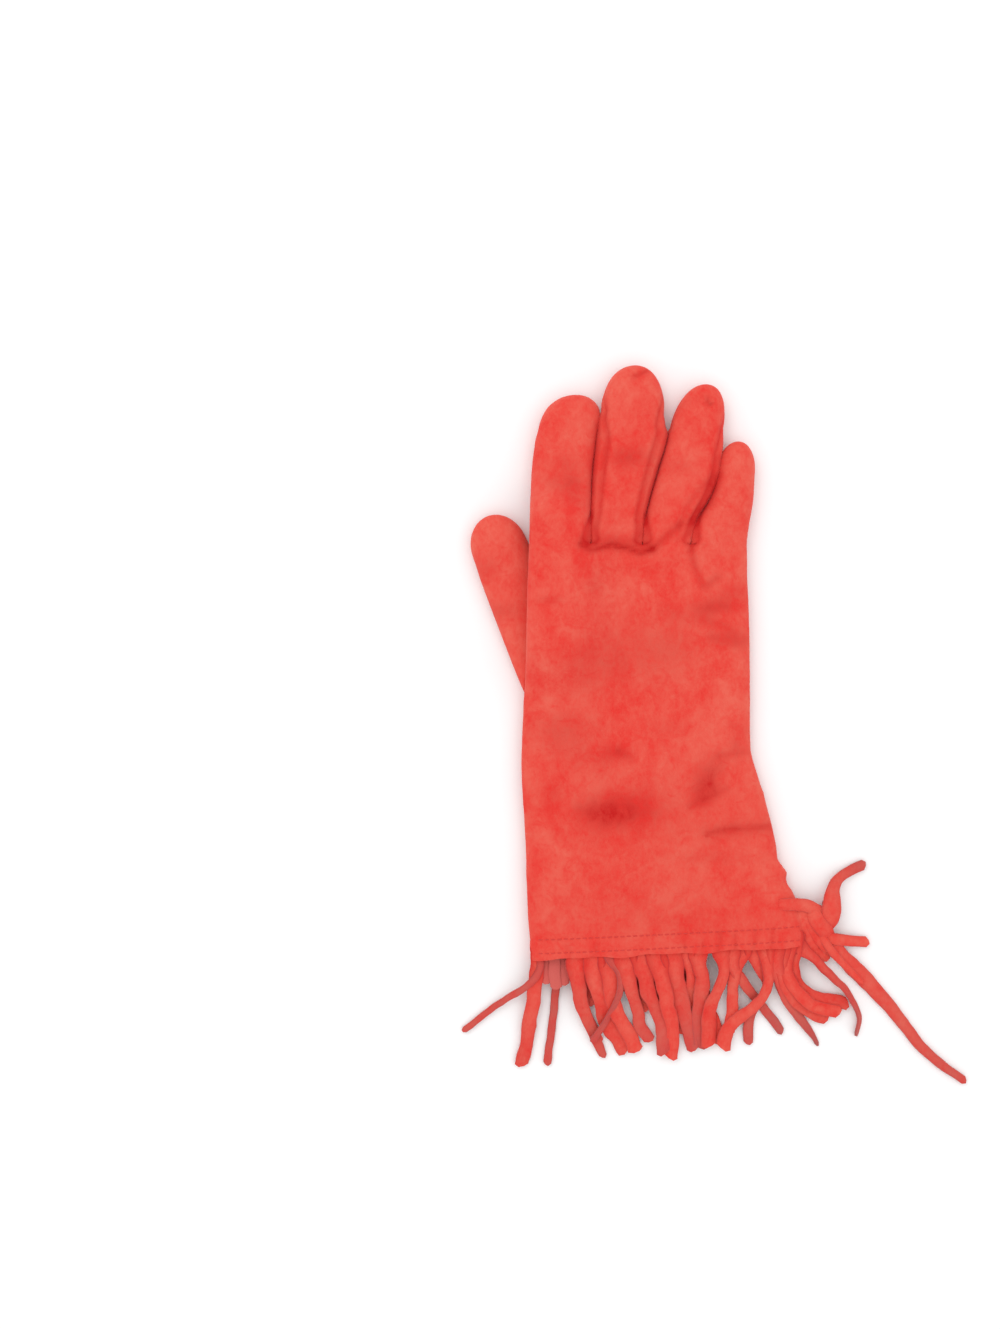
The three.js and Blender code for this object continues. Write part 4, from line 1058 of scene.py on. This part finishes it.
def make_fringe():
    parts = []
    for n, (way, wide, rest, rolls, dull) in enumerate(FRINGE):
        (x, y), root = root_place(way), hem_height(way[0][0], 1)
        rest_high, rest_end = rest if isinstance(rest, tuple) else (rest, rest)
        gone = np.cumsum([0.0] + [math.dist(a, b) for a, b in zip([(x, y)] + way[1:-1], way[1:])])
        points = [(x, y + BACK_TUCK, root)]
        for share, spot in zip(gone / gone[-1], [(x, y)] + way[1:]):
            level = lerp(rest_high, rest_end, float(smooth(share, 0.5, 1)))
            points.append((*spot, lerp(root, level, float(smooth(share, 0.0, 0.75)))))
        slant = 0.5 * math.sin(n * 2.4)
        wides = strip_widths(wide, gone[-1] + BACK_TUCK) if x > JOINED_FROM else wide
        strip = ribbon(points, wides, STRIP_THICK, rolls, slant, cup=0.1, ragged=0.16, seed=n, dull=dull)
        # painted shade on the strips' edges near the hem
        strip[2][:, 1] *= 1 + UNDER_HEM_SHADE * (1 - smooth(-strip[0][:, 1], 3, 16))
        parts.append(strip)
    for n, (way, wide, level, dull) in enumerate(LOW_FRINGE):
        (x, y), root = root_place(way), max(level, hem_height(way[0][0], -1))
        rest = [(*spot, level * (1 - 0.4 * k / len(way))) for k, spot in enumerate(way[1:])]
        points = [(x, y + PALM_TUCK, root), (x, y, root)] + rest
        slant = 0.4 * math.cos(n * 3.1)
        strip = ribbon(points, wide, STRIP_THICK, slant=slant, ragged=0.14, seed=50 + n, dull=(dull, dull))
        parts.append(strip)
    for n, (way, wide, level) in enumerate(RECESS):
        points = [(*spot, level) for spot in way]
        strip = ribbon(points, wide, STRIP_THICK, ragged=0.2, seed=80 + n, cup=-0.1)
        strip[2][:, 0] = 1
        parts.append(strip)
    fringe = joined("fringe_suede", parts)
    face_outwards(fringe)
    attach(fringe, "root")
    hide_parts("fringe")
    return fringe


def make_camera():
    """Straight above the middle of the photograph's frame, whose height is 571.5 mm on the table."""
    frame_tall, middle, level = 571.5, (-60.2, 127.1), 8.0
    data = bpy.data.cameras.new("camera")
    data.lens, data.sensor_fit, data.sensor_height = 50, "VERTICAL", 36
    camera = add_object("camera", data)
    height = level + frame_tall * data.lens / data.sensor_height
    camera.location = place((*middle, height))
    bpy.context.scene.camera = camera


def make_stage():
    bpy.ops.object.select_all(action="DESELECT")
    bpy.ops.mesh.primitive_plane_add(size=60, location=(0, 0, -0.0004))
    floor = bpy.context.object
    floor.name = "floor"
    white = bpy.data.materials.new("floor")
    white.use_nodes = True
    shader = white.node_tree.nodes["Principled BSDF"]
    shader.inputs["Base Color"].default_value = (0.97, 0.97, 0.97, 1)
    shader.inputs["Roughness"].default_value = 0.9
    floor.data.materials.append(white)
    world = bpy.data.worlds.new("soft light")
    bpy.context.scene.world = world
    world.use_nodes = True
    world.node_tree.nodes["Background"].inputs["Color"].default_value = (1, 1, 1, 1)
    world.node_tree.nodes["Background"].inputs["Strength"].default_value = 1.0
    for name, spot, size, energy in (
        ("key", (-0.6, 0.9, 1.3), 0.8, 3.6),
        ("fill", (0.9, -0.5, 1.4), 1.6, 1.2),
    ):
        data = bpy.data.lights.new(name, "AREA")
        data.size, data.energy = size, energy
        light = add_object(name, data)
        light.location = spot
        light.rotation_euler = (-Vector(spot)).to_track_quat("-Z", "Y").to_euler()
    bpy.context.scene.view_settings.view_transform = "Standard"


# Materials


class Value:
    """A number in a material: Python's operators on it add Math nodes."""

    def __init__(self, paint, socket):
        self.paint, self.socket = paint, socket

    def math(self, operation, *inputs, **settings):
        settings["operation"] = operation
        return self.paint.node("ShaderNodeMath", settings, dict(enumerate(inputs)))

    def __add__(self, other):
        return self.math("ADD", self, other)

    def __sub__(self, other):
        return self.math("SUBTRACT", self, other)

    def __rsub__(self, other):
        return self.math("SUBTRACT", other, self)

    def __mul__(self, other):
        return self.math("MULTIPLY", self, other)

    __radd__, __rmul__ = __add__, __mul__

    def clamp(self):
        return self.math("ADD", self, 0.0, use_clamp=True)


class Paint:
    """A material under construction."""

    def __init__(self, name):
        self.material = bpy.data.materials.new(name)
        self.material.use_nodes = True
        self.tree = self.material.node_tree
        self.shader = self.tree.nodes["Principled BSDF"]
        self.place = self.node("ShaderNodeTexCoord", {}, {}, "Object")

    def connect(self, socket, value):
        if isinstance(value, Value):
            self.tree.links.new(value.socket, socket)
        elif value is not None:
            socket.default_value = value

    def node(self, kind, settings, inputs, output=0):
        made = self.tree.nodes.new(kind)
        for key, setting in settings.items():
            if key == "stops":
                for element, (position, shade) in zip(made.color_ramp.elements, setting):
                    element.position, element.color = position, (shade, shade, shade, 1)
            else:
                setattr(made, key, setting)
        for key, value in inputs.items():
            self.connect(made.inputs[key], value)
        return Value(self, made.outputs[output])

    def noise(self, size_mm, detail=2.0, roughness=0.5, stretch=(1, 1, 1), distortion=0.0):
        """Noise whose features are about size_mm wide."""
        where = self.node("ShaderNodeMapping", {}, {"Vector": self.place, "Scale": stretch})
        values = {"Vector": where, "Scale": 1 / (size_mm * MM), "Detail": detail}
        values.update({"Roughness": roughness, "Distortion": distortion})
        return self.node("ShaderNodeTexNoise", {}, values)

    def ramp(self, value, low, high):
        stops = ((low, 0.0), (high, 1.0))
        return self.node("ShaderNodeValToRGB", {"stops": stops}, {"Fac": value})

    def mix(self, amount, first, second):
        settings = {"data_type": "RGBA", "clamp_factor": True}
        return self.node("ShaderNodeMix", settings, {0: amount, 6: first, 7: second}, 2)

    def attribute(self, name):
        return self.node("ShaderNodeAttribute", {"attribute_name": name}, {}, "Fac")


def colour(red, green, blue):
    """An sRGB colour in 0 to 255 as linear values."""
    linear = [c / 255 / 12.92 if c < 10 else ((c / 255 + 0.055) / 1.055) ** 2.4 for c in (red, green, blue)]
    return (*linear, 1)


def suede(name, dark, light, shade_red, flesh_colour, dull_grey, grain=1.0):
    """Napped suede: brushed patches that catch the light, fine fibres, and painted shade in creases, seams,
    valleys and along the strips' edges.
    """
    paint = Paint(name)
    broad = paint.noise(17, 2, 0.5, (1, 0.8, 1), 0.7)
    middle = paint.noise(5.5, 3, 0.6, (1.1, 0.85, 1), 0.5)
    small = paint.noise(1.7, 3, 0.65, (1.2, 0.8, 1), 0.3)
    fine = paint.noise(0.7, 3, 0.7, (1.3, 0.7, 1))
    fibre = paint.noise(0.25, 2, 0.7, (1.4, 0.8, 1))
    brushed = paint.ramp(broad * 0.42 + middle * 0.36 + small * 0.22, 0.37, 0.63)
    tone = paint.mix(brushed, dark, light)
    blotch = paint.ramp(paint.noise(7, 3, 0.62, (1, 1.3, 1), 1.2), 0.55, 0.72)
    tone = paint.mix(blotch * 0.5, tone, dark)
    speckle = paint.ramp(fine * 0.55 + fibre * 0.45, 0.35, 0.68)
    tone = paint.mix(speckle * 0.2, tone, light)
    # painted shade: creases, valleys between fingers, seam grooves and the strips' edges are mixed towards a
    # darker red, the worn patches with them
    uneven = paint.ramp(middle * 0.7 + small * 0.3, 0.3, 0.7) * 0.36 + 0.17
    shade = (paint.attribute("shade_and_wear") * uneven + paint.attribute("seam") * 0.55).clamp()
    tone = paint.mix(shade, tone, shade_red)
    tone = paint.mix(paint.attribute("flesh") * 0.8, tone, flesh_colour)
    # darker and greyer where the darkening mark says; on strips that lie in shade it is painted shade
    tone = paint.mix(paint.attribute("darkening") * (0.35 + middle * 0.7), tone, dull_grey)
    shader = paint.shader
    paint.connect(shader.inputs["Base Color"], tone)
    paint.connect(shader.inputs["Roughness"], 0.98 - speckle * 0.1)
    relief = (fibre * 0.4 + fine * 0.8 + small * 0.9) * grain
    values = {"Height": relief, "Strength": 0.5, "Distance": 0.0004}
    paint.connect(shader.inputs["Normal"], paint.node("ShaderNodeBump", {}, values))
    shader.inputs["Sheen Weight"].default_value = 0.22
    shader.inputs["Sheen Roughness"].default_value = 0.45
    shader.inputs["Sheen Tint"].default_value = (1, 0.62, 0.56, 1)
    shader.inputs["Specular IOR Level"].default_value = 0.2
    return paint.material


def thread(name, tint):
    """Matt sewing thread with a fine twist."""
    paint = Paint(name)
    twist = paint.noise(0.3, 2, 0.6, (1, 2.2, 1))
    shaded = (*(c * 0.6 for c in tint[:3]), 1)
    paint.connect(paint.shader.inputs["Base Color"], paint.mix(twist * 0.5, tint, shaded))
    values = {"Height": twist, "Strength": 0.4, "Distance": 0.0001}
    paint.connect(paint.shader.inputs["Normal"], paint.node("ShaderNodeBump", {}, values))
    paint.shader.inputs["Roughness"].default_value = 0.7
    return paint.material


def dress(pieces, material):
    for piece in pieces:
        piece.data.materials.clear()
        piece.data.materials.append(material)


make_camera()
lace_pieces = make_lace()
hand_pieces = make_hand()
stitch_piece = make_hem_stitches(hand_pieces["hand_suede"])
thumb_piece = make_thumb()
fringe_piece = make_fringe()

RED = {
    "dark": colour(227, 50, 43),
    "light": colour(230, 97, 81),
    # red of the painted shade
    "shade_red": colour(196, 26, 24),
    "flesh_colour": colour(204, 98, 92),
    # grey red of the darkening, painted shade on shaded strips
    "dull_grey": colour(146, 84, 84),
}
dress(list(hand_pieces.values()) + [thumb_piece], suede("red suede", **RED))
dress([fringe_piece], suede("red suede strips", grain=1.3, **RED))
dress(lace_pieces, suede("red suede lace", grain=1.3, **RED))
dress([stitch_piece], thread("red thread", colour(222, 58, 50)))
make_stage()
